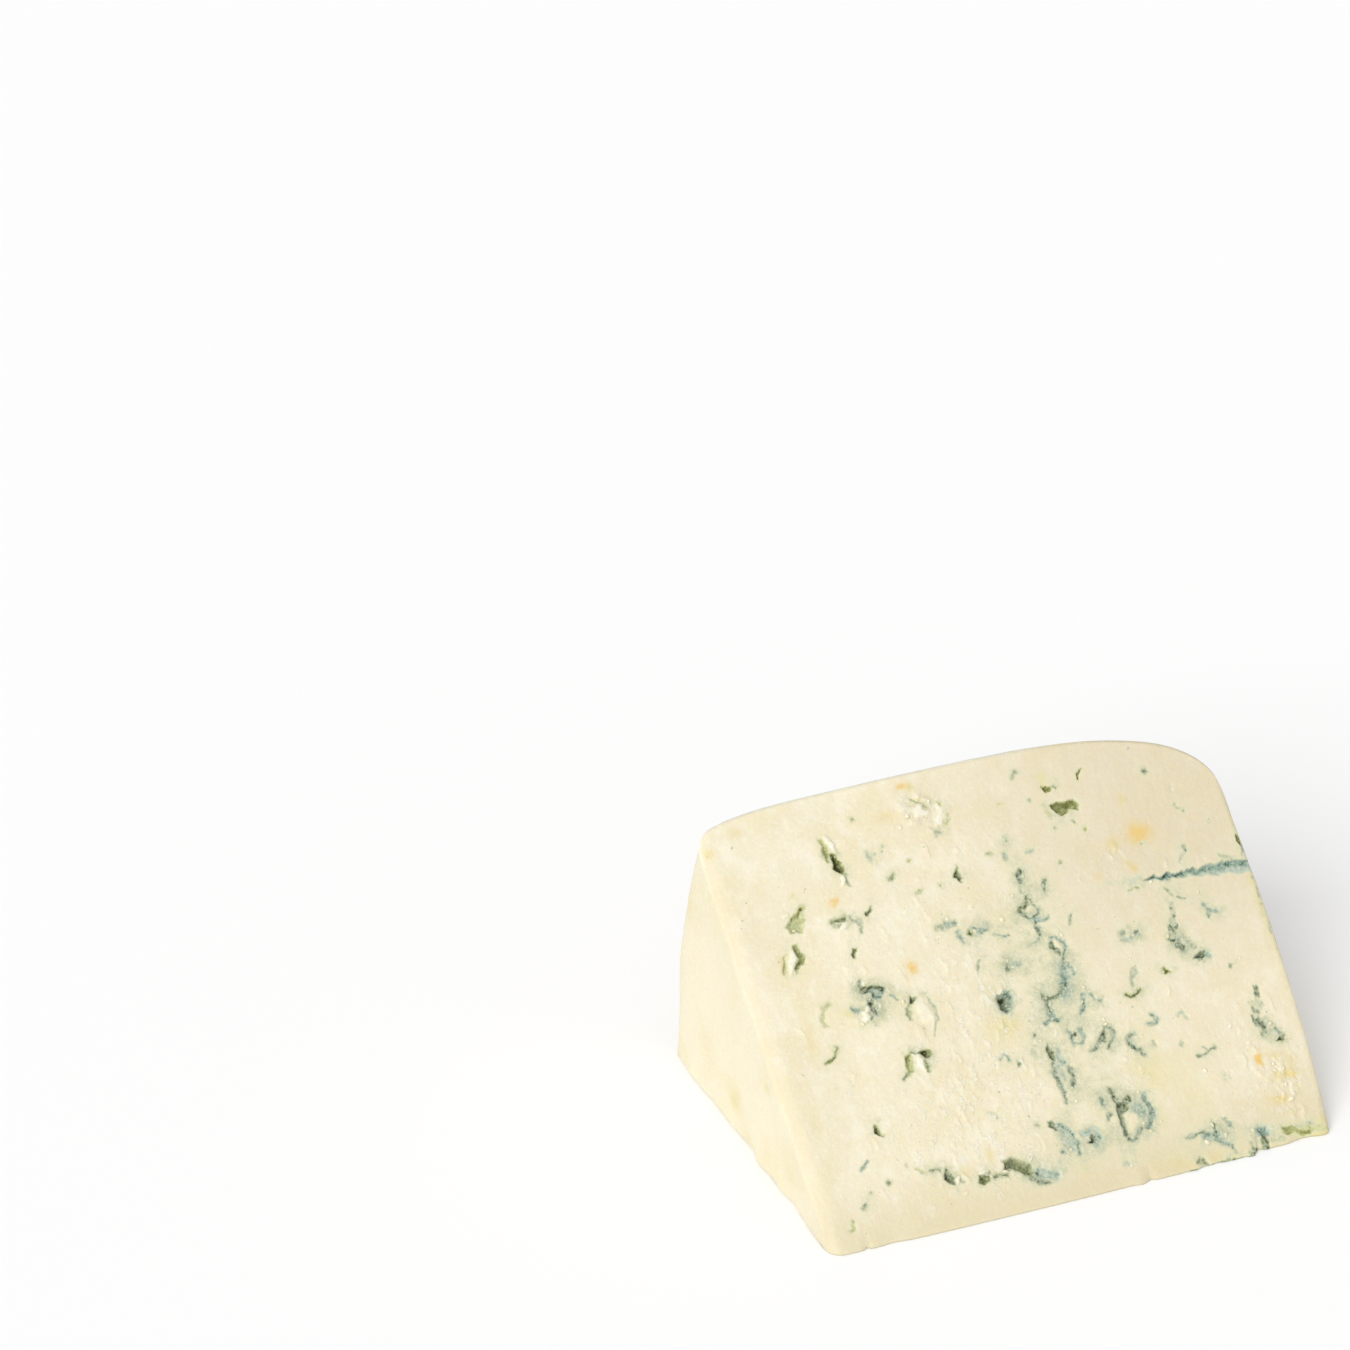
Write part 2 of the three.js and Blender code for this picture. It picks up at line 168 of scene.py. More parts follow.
def near_corner(distance):
    return np.clip(1 - distance / 9.0, 0, 1) ** 1.5


def slice_outline(x, floor_points, rim_points, cut_points, tip_points):
    centre = rim_centre()
    radius = RIM_RADIUS - rim_drop(x)
    reach = ALONG_CUT[1:] @ centre
    cut_end = reach + math.sqrt(radius**2 - centre @ centre + reach**2)
    low_end = centre[0] + math.sqrt(radius**2 - centre[1] ** 2)
    tangent = THIN_EDGE_RADIUS / math.tan(WEDGE_ANGLE / 2)
    y = np.linspace(tangent, low_end, floor_points, endpoint=False)
    slide = near_corner(low_end - y) / FLOOR_SOFTNESS
    floor = [y, 0 * y, 0 * y, 0 * y - 1, 0 * y, -slide, 0 * y]
    low_turn = math.atan2(-centre[1], low_end - centre[0])
    high_turn = math.atan2(ALONG_CUT[2] * cut_end - centre[1], ALONG_CUT[1] * cut_end - centre[0])
    turn = np.linspace(low_turn, high_turn, rim_points, endpoint=False)
    c, s = np.cos(turn), np.sin(turn)
    low_slide = FLOOR_SOFTNESS * near_corner(radius * (turn - low_turn))
    slide = low_slide - CORNER_SLIDE * near_corner(radius * (high_turn - turn))
    rim = [centre[0] + radius * c, centre[1] + radius * s, c, s, 0 * c + 1, -s * slide, c * slide]
    up = np.linspace(cut_end, tangent, cut_points, endpoint=False)
    slide = -CORNER_SLIDE * near_corner(cut_end - up)
    cut = [up * ALONG_CUT[1], up * ALONG_CUT[2], 0 * up + OUT_OF_CUT[1], 0 * up + OUT_OF_CUT[2]]
    cut += [0 * up + 2, slide * ALONG_CUT[1], slide * ALONG_CUT[2]]
    turn = np.linspace(math.pi / 2 + WEDGE_ANGLE, 1.5 * math.pi, tip_points, endpoint=False)
    c, s = np.cos(turn), np.sin(turn)
    tip = [tangent + THIN_EDGE_RADIUS * c, THIN_EDGE_RADIUS * (1 + s), c, s, 0 * c + 3, 0 * c, 0 * c]
    return np.concatenate([np.stack(part, 1) for part in (floor, rim, cut, tip)])


middle_slice = slice_outline(WHEEL_HEIGHT / 2, 10, 12, 30, 3)
slice_depth, slice_height = middle_slice[:, :2].max(axis=0)
print("slice at the middle: height", round(slice_height, 1), "depth", round(slice_depth, 1))

# %% [markdown]
# ## From slices to a skin
#
# Cheese keeps no sharp edges. Where a slice lies near a side of the wheel, its points draw
# back a little, and the thin edge bows, wears round at its corners and loses chips. The
# knife leaves low waves on the cut, and the lowest edge on the left has crumbled.

# %% Shape every point
FLOOR, RIM, CUT, TIP, FLAT = range(5)


def draw_back(distance, softness):
    inside = np.clip(softness - distance, 0, softness)
    return softness - np.sqrt(softness**2 - inside**2)


def chip_depth(x):
    chips = THIN_EDGE_CHIPS + SMALL_CHIPS
    return sum(bite * np.exp(-(((x - middle) / reach) ** 2)) for middle, reach, bite in chips)


def shape_points(x, spots, on_side=False):
    x = np.broadcast_to(np.asarray(x, float), len(spots)).copy()
    y, z, ny, nz, face, ty, tz = spots.T
    from_tip = np.hypot(y, z)
    share = np.clip(from_tip / UPPER_LENGTH, 0, 1)
    fade = soft_step(from_tip, 0, 18)
    softness = np.where(face == FLOOR, FLOOR_SOFTNESS, 1.0)
    sink = draw_back(x, LEFT_EDGE_SOFTNESS) + draw_back(WHEEL_HEIGHT - x, RIGHT_EDGE_SOFTNESS)
    held_back = 0.45 * np.hypot(ty, tz) / CORNER_SLIDE * (face != FLOOR)
    sink = sink * softness * (0.12 + 0.88 * fade) * (1 - held_back) * (not on_side)
    place = np.stack([x, y, z], 1)
    lift = np.where(face == CUT, CUT_WAVE[0] * waves(place, CUT_WAVE[1], 3) * fade, 0.0)
    lift = np.where(face == RIM, RIND_WAVE[0] * waves(place, RIND_WAVE[1], 7), lift)
    y = y + ny * (lift - sink) + ty * sink
    z = z + nz * (lift - sink) + tz * sink
    bow = THIN_EDGE_BOW * 4 * (x / WHEEL_HEIGHT) * (1 - x / WHEEL_HEIGHT)
    wear = draw_back(x, THIN_CORNER_WEAR) + draw_back(WHEEL_HEIGHT - x, THIN_CORNER_WEAR)
    y = y + (not on_side) * ((1 - fade) * (wear - bow) + (1 - soft_step(from_tip, 0, 5)) * chip_depth(x))
    swell = RIGHT_SWELL * 4 * share * (1 - share) * soft_step(x, 70, WHEEL_HEIGHT)
    side = np.stack([0 * y, y, z], 1)
    rind = RIND_WAVE[0] * waves(side, RIND_WAVE[1], 19) * fade
    crumble = EDGE_CRUMBLE[0] * waves(side, EDGE_CRUMBLE[1], 23) * (1 - soft_step(z, 0, 5))
    x = x + swell + (1 - soft_step(x, 0, 9)) * (rind + crumble)
    return np.stack([x, y, np.maximum(z, 0)], 1)


print("the left edge draws back by", LEFT_EDGE_SOFTNESS, "mm, the right one by", RIGHT_EDGE_SOFTNESS, "mm")

# %% [markdown]
# ## Join the slices
#
# Slices stand close together where the ends are rounded and further apart in between.
# Each neighbouring pair is joined by a band of triangles. Rings that shrink to a point
# close both ends, so that the skin encloses the cheese completely.

# %% Build the plain skin
LOOP = dict(floor_points=30, rim_points=40, cut_points=112, tip_points=5)
left_end = np.array([0, 0.05, 0.15, 0.35, 0.65, 1.05, 1.6, 2.3, 3.1])
right_end = WHEEL_HEIGHT - np.array([3.2, 2.5, 1.9, 1.4, 1.0, 0.65, 0.38, 0.18, 0.06, 0])
stations = np.concatenate([left_end, np.linspace(3.9, 96.0, 128), right_end])
ring_shares = np.linspace(0, 1, 12)[1:-1] ** 1.4


def side_ring(x, share):
    spots = slice_outline(x, **LOOP)
    edge = shape_points(x, spots)
    middle = LOWER_LENGTH * 0.62 * np.array([1, math.tan(WEDGE_ANGLE / 2)])
    spots[:, :2] = edge[:, 1:] * (1 - share) + middle * share
    spots[:, 4] = FLAT
    return shape_points(x, spots, on_side=True)


loops = [side_ring(0.0, share) for share in ring_shares[::-1]]
loops += [shape_points(x, slice_outline(x, **LOOP)) for x in stations]
loops += [side_ring(WHEEL_HEIGHT, share) for share in ring_shares]
size = len(loops[0])
points = np.concatenate(loops + [side_ring(0.0, 1.0)[:1], side_ring(WHEEL_HEIGHT, 1.0)[:1]])
row = np.arange(size)
after = (row + 1) % size
bands = []
for here, there in zip(range(len(loops) - 1), range(1, len(loops))):
    a, b = here * size + row, here * size + after
    c, d = there * size + row, there * size + after
    bands += [np.stack([a, b, c], 1), np.stack([b, d, c], 1)]
last = (len(loops) - 1) * size
bands.append(np.stack([np.full(size, len(points) - 2), after, row], 1))
bands.append(np.stack([np.full(size, len(points) - 1), last + row, last + after], 1))
triangles = np.concatenate(bands)
first, second, third = points[triangles[:, 0]], points[triangles[:, 1]], points[triangles[:, 2]]
volume = np.einsum("ij,ij->i", first, np.cross(second, third)).sum() / 6
if volume < 0:
    triangles = triangles[:, ::-1]
print("plain skin:", len(triangles), "triangles round", round(abs(volume) / 1000, 1), "cubic centimetres")

# %% [markdown]
# ## What lies on the cut face
#
# Places on the cut face are given by x, along the thin edge, and s, up the face from it,
# both in millimetres. A pocket is an opening that the curds never closed. It is drawn as
# a loop of corners, with its depth, how far the mould has grown in it, from nought to
# one, and the tone of that mould: 1 is olive, 0 grey-green and -1 blue. Old, damp pockets
# are the olive ones.

# %% List the pockets
POCKETS = (
    (((67.2, 73.0), (68.9, 73.3), (70.2, 72.9), (72.4, 73.1), (72.8, 72.2), (72.5, 71.0), (71.6, 71.3),
      (70.3, 70.9), (69.3, 70.6), (68.2, 71.4), (67.5, 72.0)), 2.0, 0.66, 0.9),
    (((66.9, 77.1), (68.0, 76.5), (69.1, 76.8), (68.3, 75.5), (67.8, 74.9), (67.3, 75.8)), 1.1, 0.82, 1.0),
    (((74.0, 76.7), (74.5, 76.7), (75.5, 78.2), (74.7, 77.7)), 0.9, 0.8, 1.0),
    (((23.1, 73.6), (24.6, 72.8), (25.4, 70.2), (24.7, 69.1), (23.8, 69.2), (23.1, 70.6),
      (23.5, 71.6)), 2.1, 0.95, 0.8),
    (((21.9, 76.8), (22.9, 76.4), (23.3, 73.4), (22.6, 71.4), (21.7, 73.6)), 0.6, 0.36, 1.0),
    (((10.5, 61.8), (11.4, 63.2), (13.6, 64.0), (15.0, 65.2), (15.0, 62.8), (14.2, 60.9),
      (13.4, 60.3), (11.3, 60.3)), 0.8, 0.3, 0.7),
    (((10.7, 58.4), (11.7, 58.3), (12.5, 56.2), (12.2, 54.4), (11.0, 53.6), (9.8, 53.0),
      (10.9, 55.6)), 1.1, 0.6, 0.8),
    (((9.4, 57.4), (9.2, 56.2), (8.2, 53.6), (7.3, 53.3), (7.6, 55.0), (8.4, 56.4)), 0.7, 0.3, 1.0),
    (((21.0, 54.3), (21.8, 55.3), (22.5, 55.0), (22.0, 54.0), (21.7, 53.1), (21.3, 53.4)), 1.0, 0.78, 0.6),
    (((26.2, 61.4), (27.2, 61.5), (28.0, 62.1), (27.8, 61.3), (27.0, 60.5), (26.5, 60.8)), 1.1, 0.95, 0.4),
    (((20.9, 47.4), (23.0, 47.4), (25.4, 46.7), (24.8, 45.4), (23.2, 44.8), (22.4, 45.8),
      (21.2, 46.6)), 0.8, 0.6, -0.6),
    (((28.6, 39.2), (28.0, 40.0), (27.8, 41.4), (28.6, 42.4), (29.4, 43.2), (29.2, 42.0),
      (29.0, 40.6)), 0.6, 0.38, 0.4),
    (((29.5, 43.9), (30.0, 43.4), (30.7, 43.3), (30.2, 42.7), (29.2, 42.7)), 0.9, 0.92, 0.6),
    (((25.0, 33.2), (26.4, 33.7), (26.7, 32.2), (26.2, 31.0), (25.6, 30.2), (24.6, 30.4),
      (24.5, 31.6)), 1.0, 0.42, 1.0),
    (((28.0, 33.7), (29.4, 33.7), (29.8, 32.8), (29.0, 31.7), (28.5, 32.6)), 1.3, 0.88, 0.7),
    (((46.4, 66.0), (46.2, 64.4), (46.5, 63.3), (45.9, 62.5), (45.2, 63.4), (44.6, 63.8),
      (45.5, 64.8)), 1.2, 0.84, 0.4),
    (((45.3, 39.9), (46.2, 40.8), (47.5, 41.2), (48.6, 40.6), (48.9, 39.3), (48.6, 37.8),
      (47.8, 36.6), (46.7, 36.2), (45.8, 37.0), (45.3, 38.4)), 2.6, 0.56, -0.6),
    (((51.7, 29.0), (52.6, 29.3), (52.9, 27.6), (52.7, 26.0), (52.2, 25.6), (51.6, 26.6)), 1.2, 0.74, 0.2),
    (((60.8, 17.2), (61.4, 17.6), (62.0, 16.0), (63.2, 16.1), (63.7, 15.4), (63.4, 14.2),
      (62.4, 13.2), (61.9, 12.0), (61.6, 10.8), (61.9, 9.6), (61.1, 9.2), (60.8, 10.6),
      (60.9, 12.4), (61.0, 14.4), (61.3, 15.4)), 1.3, 0.48, 0.0),
    (((47.2, 15.5), (48.2, 15.3), (48.9, 14.4), (48.8, 13.1), (48.0, 13.0), (47.4, 14.0)), 1.0, 0.74, 0.1),
    (((55.0, 11.7), (55.6, 10.8), (55.3, 9.6), (54.2, 9.3), (53.6, 9.8), (54.3, 10.8)), 1.4, 0.76, -0.2),
    (((36.3, 9.3), (37.0, 10.3), (38.6, 10.6), (40.2, 9.8), (41.5, 8.4), (41.7, 7.2),
      (41.0, 6.1), (40.4, 6.4), (39.4, 7.2), (38.0, 8.1), (36.8, 8.3), (36.0, 8.6)), 2.4, 0.62, 0.4),
    (((30.5, 7.5), (31.4, 8.9), (32.4, 8.4), (33.4, 8.8), (33.5, 7.3), (31.8, 6.8)), 1.1, 0.8, 0.5),
    (((25.0, 10.2), (25.6, 11.5), (26.3, 10.6), (26.8, 9.0), (26.6, 8.0), (25.7, 8.5),
      (25.0, 9.4)), 1.3, 0.76, 0.1),
    (((15.0, 22.8), (15.6, 22.6), (16.4, 20.4), (16.0, 19.8), (15.3, 20.8)), 1.0, 0.82, 0.7),
    (((84.6, 38.6), (85.8, 39.4), (87.2, 39.7), (87.5, 38.8), (86.2, 38.1), (85.4, 38.3)), 1.0, 0.93, 0.0),
    (((95.2, 19.8), (96.2, 20.6), (97.0, 20.5), (97.0, 19.6), (96.2, 19.3)), 0.8, 0.9, 0.3),
    (((75.0, 46.0), (76.3, 46.5), (76.3, 45.6), (75.5, 45.1)), 0.7, 0.8, -0.2),
    (((85.6, 5.0), (87.4, 4.9), (88.5, 4.2), (88.2, 3.2), (87.0, 3.0), (86.0, 3.6)), 0.6, 0.5, -0.8),
    (((100.6, 59.6), (101.4, 59.4), (101.8, 57.0), (100.9, 57.3)), 0.7, 0.9, 0.8),
)
CHANNEL = dict(start=(80.4, 55.1), end=(101.5, 53.9), depth=1.0)
print(len(POCKETS), "pockets, the deepest", max(pocket[1] for pocket in POCKETS), "mm")

# %% [markdown]
# ## Veins and specks
#
# Mould grows along cracks between the curds, so a vein is a short bent line. Each one has
# its points, a width, how far the mould has grown, and its tone. Specks are veins of one
# point. The densest growth runs down the middle of the face and on to the right of it.

# %% Veins in the middle and on the right
VEINS = [
    (((57.9, 62.0), (57.2, 61.0), (57.0, 59.9)), 1.0, 0.8, -0.15),
    (((57.0, 59.6), (56.6, 58.4), (57.4, 57.6)), 0.7, 0.25, -0.15),
    (((57.5, 57.4), (56.4, 55.9), (55.2, 54.6)), 0.8, 0.8, 0.2),
    (((55.2, 54.6), (55.8, 53.7), (57.0, 53.1), (58.4, 53.6), (58.9, 54.6), (57.6, 57.4)), 0.7, 0.5, -0.15),
    (((57.4, 52.2), (58.8, 52.1), (60.2, 52.5)), 0.7, 0.5, -0.5),
    (((57.5, 52.4), (57.4, 51.2), (57.9, 49.8)), 0.9, 0.7, -0.15),
    (((57.4, 49.2), (56.6, 48.5), (55.3, 48.0)), 0.9, 0.25, -0.15),
    (((61.9, 59.4), (61.5, 58.6), (61.4, 57.7)), 0.9, 0.6, -0.15),
    (((64.5, 51.8), (63.8, 50.3)), 0.7, 0.55, 0.0),
    (((49.0, 51.4), (51.6, 50.8)), 0.6, 0.5, -0.5),
    (((59.1, 47.4), (59.5, 48.4), (60.6, 48.3), (61.3, 47.0), (61.2, 45.4), (60.4, 44.4)), 0.7, 0.5, -0.5),
    (((59.1, 47.4), (59.6, 46.2), (60.0, 45.5)), 0.8, 0.8, 0.0),
    (((60.5, 44.4), (59.6, 42.6)), 0.7, 0.7, 0.0),
    (((60.2, 44.0), (61.0, 42.2), (61.3, 41.0)), 0.8, 0.55, -0.5),
    (((59.9, 43.0), (59.3, 40.5), (58.8, 38.2), (58.4, 37.2)), 3.0, 0.3, -0.6),
    (((54.0, 38.2), (55.6, 37.3), (57.0, 37.6), (58.2, 38.4)), 0.8, 0.6, 0.1),
    (((54.5, 37.6), (54.7, 35.6), (54.9, 34.0)), 1.4, 0.4, -0.5),
    (((53.0, 33.0), (54.6, 33.6), (55.9, 33.4)), 0.9, 0.6, -0.5),
    (((61.8, 36.6), (61.5, 35.2), (60.4, 33.5)), 1.1, 0.55, -0.5),
    (((63.0, 36.4), (63.4, 35.6)), 0.6, 0.4, -0.5),
    (((64.4, 35.3), (65.0, 35.2)), 0.7, 0.4, -0.5),
    (((73.1, 39.7), (72.2, 38.2), (71.8, 36.2)), 1.1, 0.35, -0.15),
    (((69.9, 35.1), (70.6, 34.3), (71.8, 34.3), (73.0, 35.3)), 0.6, 0.9, 0.7),
    (((78.6, 38.1), (78.8, 37.4), (79.5, 37.1)), 0.5, 0.85, 1.0),
    (((56.8, 31.2), (57.2, 30.2), (57.4, 28.6), (58.6, 28.3), (59.5, 29.2), (59.3, 30.8)), 0.9, 0.45, -0.5),
    (((58.1, 29.9),), 0.8, 0.9, 0.0),
    (((60.2, 26.3), (61.6, 27.0), (63.0, 28.8), (63.8, 30.0), (65.1, 29.5), (65.0, 27.6),
      (63.4, 26.2)), 0.9, 0.5, -0.15),
    (((63.4, 29.2), (63.2, 27.8)), 1.2, 0.8, 0.2),
    (((68.9, 27.6), (68.0, 27.4), (67.6, 26.0), (68.4, 24.6), (69.4, 24.2), (69.7, 23.2)), 1.0, 0.6, -0.15),
    (((73.3, 30.5), (74.1, 29.6), (73.2, 28.7), (72.2, 28.5)), 0.9, 0.42, -0.5),
    (((78.4, 29.0), (79.3, 29.6), (80.2, 28.0)), 0.9, 0.2, -0.5),
    (((72.0, 25.0),), 1.2, 0.35, 0.0),
    (((77.2, 23.4),), 1.1, 0.28, -0.15),
    (((79.7, 20.5), (81.4, 20.8), (82.4, 21.0), (83.3, 21.4)), 0.7, 0.55, 0.0),
    (((82.0, 21.0), (81.2, 22.3)), 0.5, 0.35, -0.15),
    (((83.1, 42.2), (83.3, 41.3)), 1.5, 0.6, -0.15),
    (((94.0, 23.6), (93.9, 22.4)), 1.4, 0.6, -0.15),
    (((96.0, 22.2), (96.4, 21.2)), 0.7, 0.4, -0.5),
    (((90.4, 47.8), (91.2, 46.8), (92.2, 46.4)), 1.0, 0.5, -0.5),
    (((91.0, 46.8), (90.2, 45.2)), 0.8, 0.4, -0.5),
    (((84.2, 52.4), (84.9, 51.4)), 0.5, 0.35, 0.2),
    (((85.6, 50.9), (87.1, 50.1)), 0.6, 0.45, -0.15),
    (((90.3, 59.8), (90.1, 59.0)), 0.7, 0.5, -0.15),
    (((89.3, 58.2), (88.7, 56.6)), 0.9, 0.2, -0.15),
    (((73.2, 46.2),), 1.0, 0.6, -0.15),
    (((75.2, 45.2), (76.2, 45.0)), 1.6, 0.25, -0.5),
    (((72.6, 45.2), (74.2, 44.6)), 1.2, 0.3, -0.5),
]
print(len(VEINS), "veins in the middle and on the right")

# %% [markdown]
# On the left the curd was closer, so the veins are fewer and shorter, and most of them
# start at a pocket.

# %% Veins on the left
VEINS += [
    (((19.6, 61.0), (20.6, 61.0), (22.0, 60.8)), 1.0, 0.6, 0.4),
    (((20.0, 60.0), (21.6, 59.6)), 1.0, 0.35, -0.15),
    (((23.4, 60.8), (24.6, 59.8), (24.7, 58.6), (24.2, 57.7)), 0.8, 0.42, -0.15),
    (((30.5, 71.6), (30.8, 70.6)), 1.6, 0.3, -0.5),
    (((31.8, 71.2),), 0.9, 0.25, -0.5),
    (((33.1, 66.2), (33.7, 66.9)), 0.9, 0.55, 0.3),
    (((29.4, 78.6),), 1.0, 0.6, 0.2),
    (((37.4, 62.4), (38.2, 62.6)), 1.2, 0.32, 0.4),
    (((42.1, 62.9),), 1.1, 0.35, 0.4),
    (((44.0, 72.6), (44.4, 71.8)), 0.9, 0.18, 0.0),
    (((41.7, 79.7), (42.8, 78.7), (44.4, 78.0)), 0.6, 0.45, 0.7),
    (((46.4, 78.4), (47.5, 76.4), (47.4, 74.6), (46.7, 73.8)), 0.8, 0.25, 1.0),
    (((38.8, 55.1), (39.9, 55.0)), 1.2, 0.45, -0.15),
    (((40.8, 55.4), (42.3, 55.5)), 1.4, 0.45, -0.5),
    (((44.6, 52.9),), 1.0, 1.0, 0.3),
    (((45.6, 53.6), (46.8, 53.6), (47.6, 52.8), (46.4, 52.4)), 0.9, 0.42, -0.5),
    (((42.4, 53.6), (42.8, 51.8)), 1.0, 0.4, -0.5),
    (((44.6, 47.6), (43.6, 45.8)), 0.7, 0.4, 0.0),
    (((49.4, 45.3),), 1.3, 0.85, 0.0),
    (((50.4, 45.6), (51.8, 45.0)), 1.6, 0.3, -0.5),
    (((21.0, 49.0), (21.1, 47.4)), 0.7, 0.75, 0.0),
    (((22.2, 44.4), (22.4, 43.0), (22.7, 42.4)), 1.2, 0.85, -0.15),
    (((18.6, 44.3), (19.4, 43.8)), 1.1, 0.5, -0.5),
    (((20.0, 41.2), (22.0, 42.2)), 0.6, 0.4, -0.15),
    (((26.2, 44.8), (26.8, 43.7)), 0.5, 0.35, -0.5),
    (((10.2, 35.3), (11.4, 36.0), (12.3, 36.6), (12.9, 37.8)), 0.5, 0.75, 0.7),
    (((14.6, 46.1), (12.8, 45.3), (12.0, 43.6), (12.3, 42.2)), 1.3, 0.28, 0.8),
    (((32.6, 43.8), (33.6, 41.6), (33.2, 38.4), (31.6, 36.2)), 0.6, 0.32, -0.15),
    (((24.8, 30.2), (23.6, 29.2)), 0.6, 0.6, 0.3),
    (((42.6, 28.8), (43.6, 29.2), (44.0, 28.2)), 0.9, 0.5, -0.5),
    (((45.7, 27.1),), 1.1, 0.7, 0.0),
    (((49.0, 29.3), (49.2, 27.4)), 0.8, 0.25, -0.15),
    (((50.4, 31.5),), 1.0, 0.5, 0.0),
    (((37.7, 19.4), (38.4, 18.6)), 1.6, 0.2, -0.5),
    (((10.3, 14.9), (11.0, 15.4), (11.7, 16.2)), 0.7, 0.55, -0.5),
    (((14.5, 11.7),), 1.1, 0.6, 0.2),
    (((18.9, 13.9),), 0.9, 0.3, 0.3),
    (((10.9, 10.2),), 0.7, 0.4, 0.0),
    (((8.7, 8.4),), 1.1, 0.6, 0.0),
    (((5.6, 6.0), (5.5, 4.8), (4.9, 4.2)), 0.8, 0.35, 0.8),
    (((23.2, 11.7), (24.4, 11.3)), 0.7, 0.6, 0.2),
    (((20.4, 12.8), (21.6, 11.6)), 0.8, 0.3, 0.8),
    (((26.8, 9.4), (28.2, 8.4)), 0.6, 0.5, -0.15),
    (((34.4, 7.8), (36.8, 7.6)), 1.0, 0.6, 0.3),
    (((41.0, 6.0), (42.4, 5.0), (44.0, 4.6)), 1.1, 0.7, 0.0),
    (((43.0, 6.2), (45.8, 5.4)), 2.4, 0.28, -0.5),
    (((49.4, 14.2), (51.0, 12.8), (51.6, 10.6), (51.4, 8.4)), 1.0, 0.5, -0.5),
    (((49.6, 12.6), (50.2, 10.6)), 2.2, 0.2, -0.5),
    (((48.7, 9.4),), 1.1, 0.6, -0.5),
]
print(len(VEINS), "veins with those on the left")

# %% [markdown]
# Low on the face and along the thin edge the veins are wide and blue, and one at the right
# corner is olive.

# %% Veins low on the face
VEINS += [
    (((51.9, 25.4), (51.8, 23.0), (52.4, 21.0), (52.0, 18.4)), 0.9, 0.6, -0.15),
    (((53.6, 27.4), (53.8, 25.4)), 2.0, 0.24, -0.5),
    (((54.9, 24.4), (54.9, 22.6), (54.5, 20.6)), 0.9, 0.55, -0.15),
    (((62.8, 15.0), (63.6, 15.8), (64.1, 15.9)), 0.7, 0.7, 0.0),
    (((61.6, 9.0), (62.2, 8.3), (63.6, 9.2), (64.6, 9.8)), 1.0, 0.5, -0.15),
    (((66.9, 15.8), (67.2, 13.8), (67.6, 12.2), (66.8, 10.6), (66.0, 9.8)), 1.4, 0.5, -0.5),
    (((65.4, 14.4), (65.9, 12.0)), 1.8, 0.22, -0.5),
    (((53.4, 11.6), (55.6, 12.2), (56.3, 10.4), (55.4, 8.8)), 1.5, 0.3, -0.8),
    (((59.0, 16.7),), 1.3, 0.5, -0.5),
    (((59.4, 14.4), (58.8, 13.4)), 0.9, 0.55, 0.0),
    (((83.2, 16.2), (84.0, 14.8)), 1.4, 0.15, -0.5),
    (((72.2, 6.6), (74.6, 6.5), (76.0, 6.4), (77.2, 5.0)), 1.0, 0.5, -0.15),
    (((78.2, 8.0), (77.9, 6.4), (78.2, 5.2)), 0.9, 0.5, -0.15),
    (((77.2, 5.6), (78.6, 4.4), (79.7, 3.4)), 1.5, 0.55, -0.5),
    (((77.0, 5.8), (78.0, 4.8)), 2.2, 0.25, -0.5),
    (((81.0, 8.0), (81.3, 7.0)), 0.8, 0.25, 0.0),
    (((86.2, 4.6), (87.6, 4.0)), 2.0, 0.45, -0.8),
    (((86.8, 2.8), (86.2, 1.4)), 1.5, 0.6, 0.2),
    (((73.0, 1.6), (74.2, 0.9)), 1.3, 0.7, 0.3),
    (((84.0, 2.8), (84.2, 1.2)), 0.7, 0.5, 0.2),
    (((90.6, 4.0), (92.4, 3.4), (94.2, 2.4)), 0.6, 0.6, 1.0),
    (((59.4, 4.4),), 1.5, 0.2, -0.5),
    (((96.6, 3.6),), 0.9, 0.3, -0.15),
]
print(len(VEINS), "veins with those low on the face")

# %% [markdown]
# Lone specks are scattered high on the face, where little air came in.

# %% Specks high on the face
VEINS += [
    (((62.0, 79.7), (62.9, 80.3)), 1.0, 0.5, 0.2),
    (((53.0, 66.6),), 1.3, 0.4, 0.3),
    (((56.8, 68.4),), 1.0, 0.28, 0.0),
    (((67.2, 68.4),), 0.8, 0.5, 0.3),
    (((71.0, 68.8),), 0.8, 0.5, 0.3),
    (((72.6, 67.2),), 1.0, 0.45, 1.0),
    (((64.0, 74.7),), 1.0, 0.5, 0.0),
    (((87.4, 75.2),), 1.3, 0.55, 0.0),
    (((91.6, 71.4), (91.5, 70.6)), 0.9, 0.18, -0.15),
    (((82.4, 61.8),), 0.9, 0.45, 0.3),
    (((91.4, 35.6),), 0.9, 0.35, 0.0),
    (((76.8, 54.0), (78.8, 54.1)), 0.5, 0.4, 1.0),
]
print(len(VEINS), "veins and specks with those")

# %% [markdown]
# These lie over the veins and pockets above: dark cores where the growth is oldest, and
# wide pale fills between two veins, where young mould covers the paste.

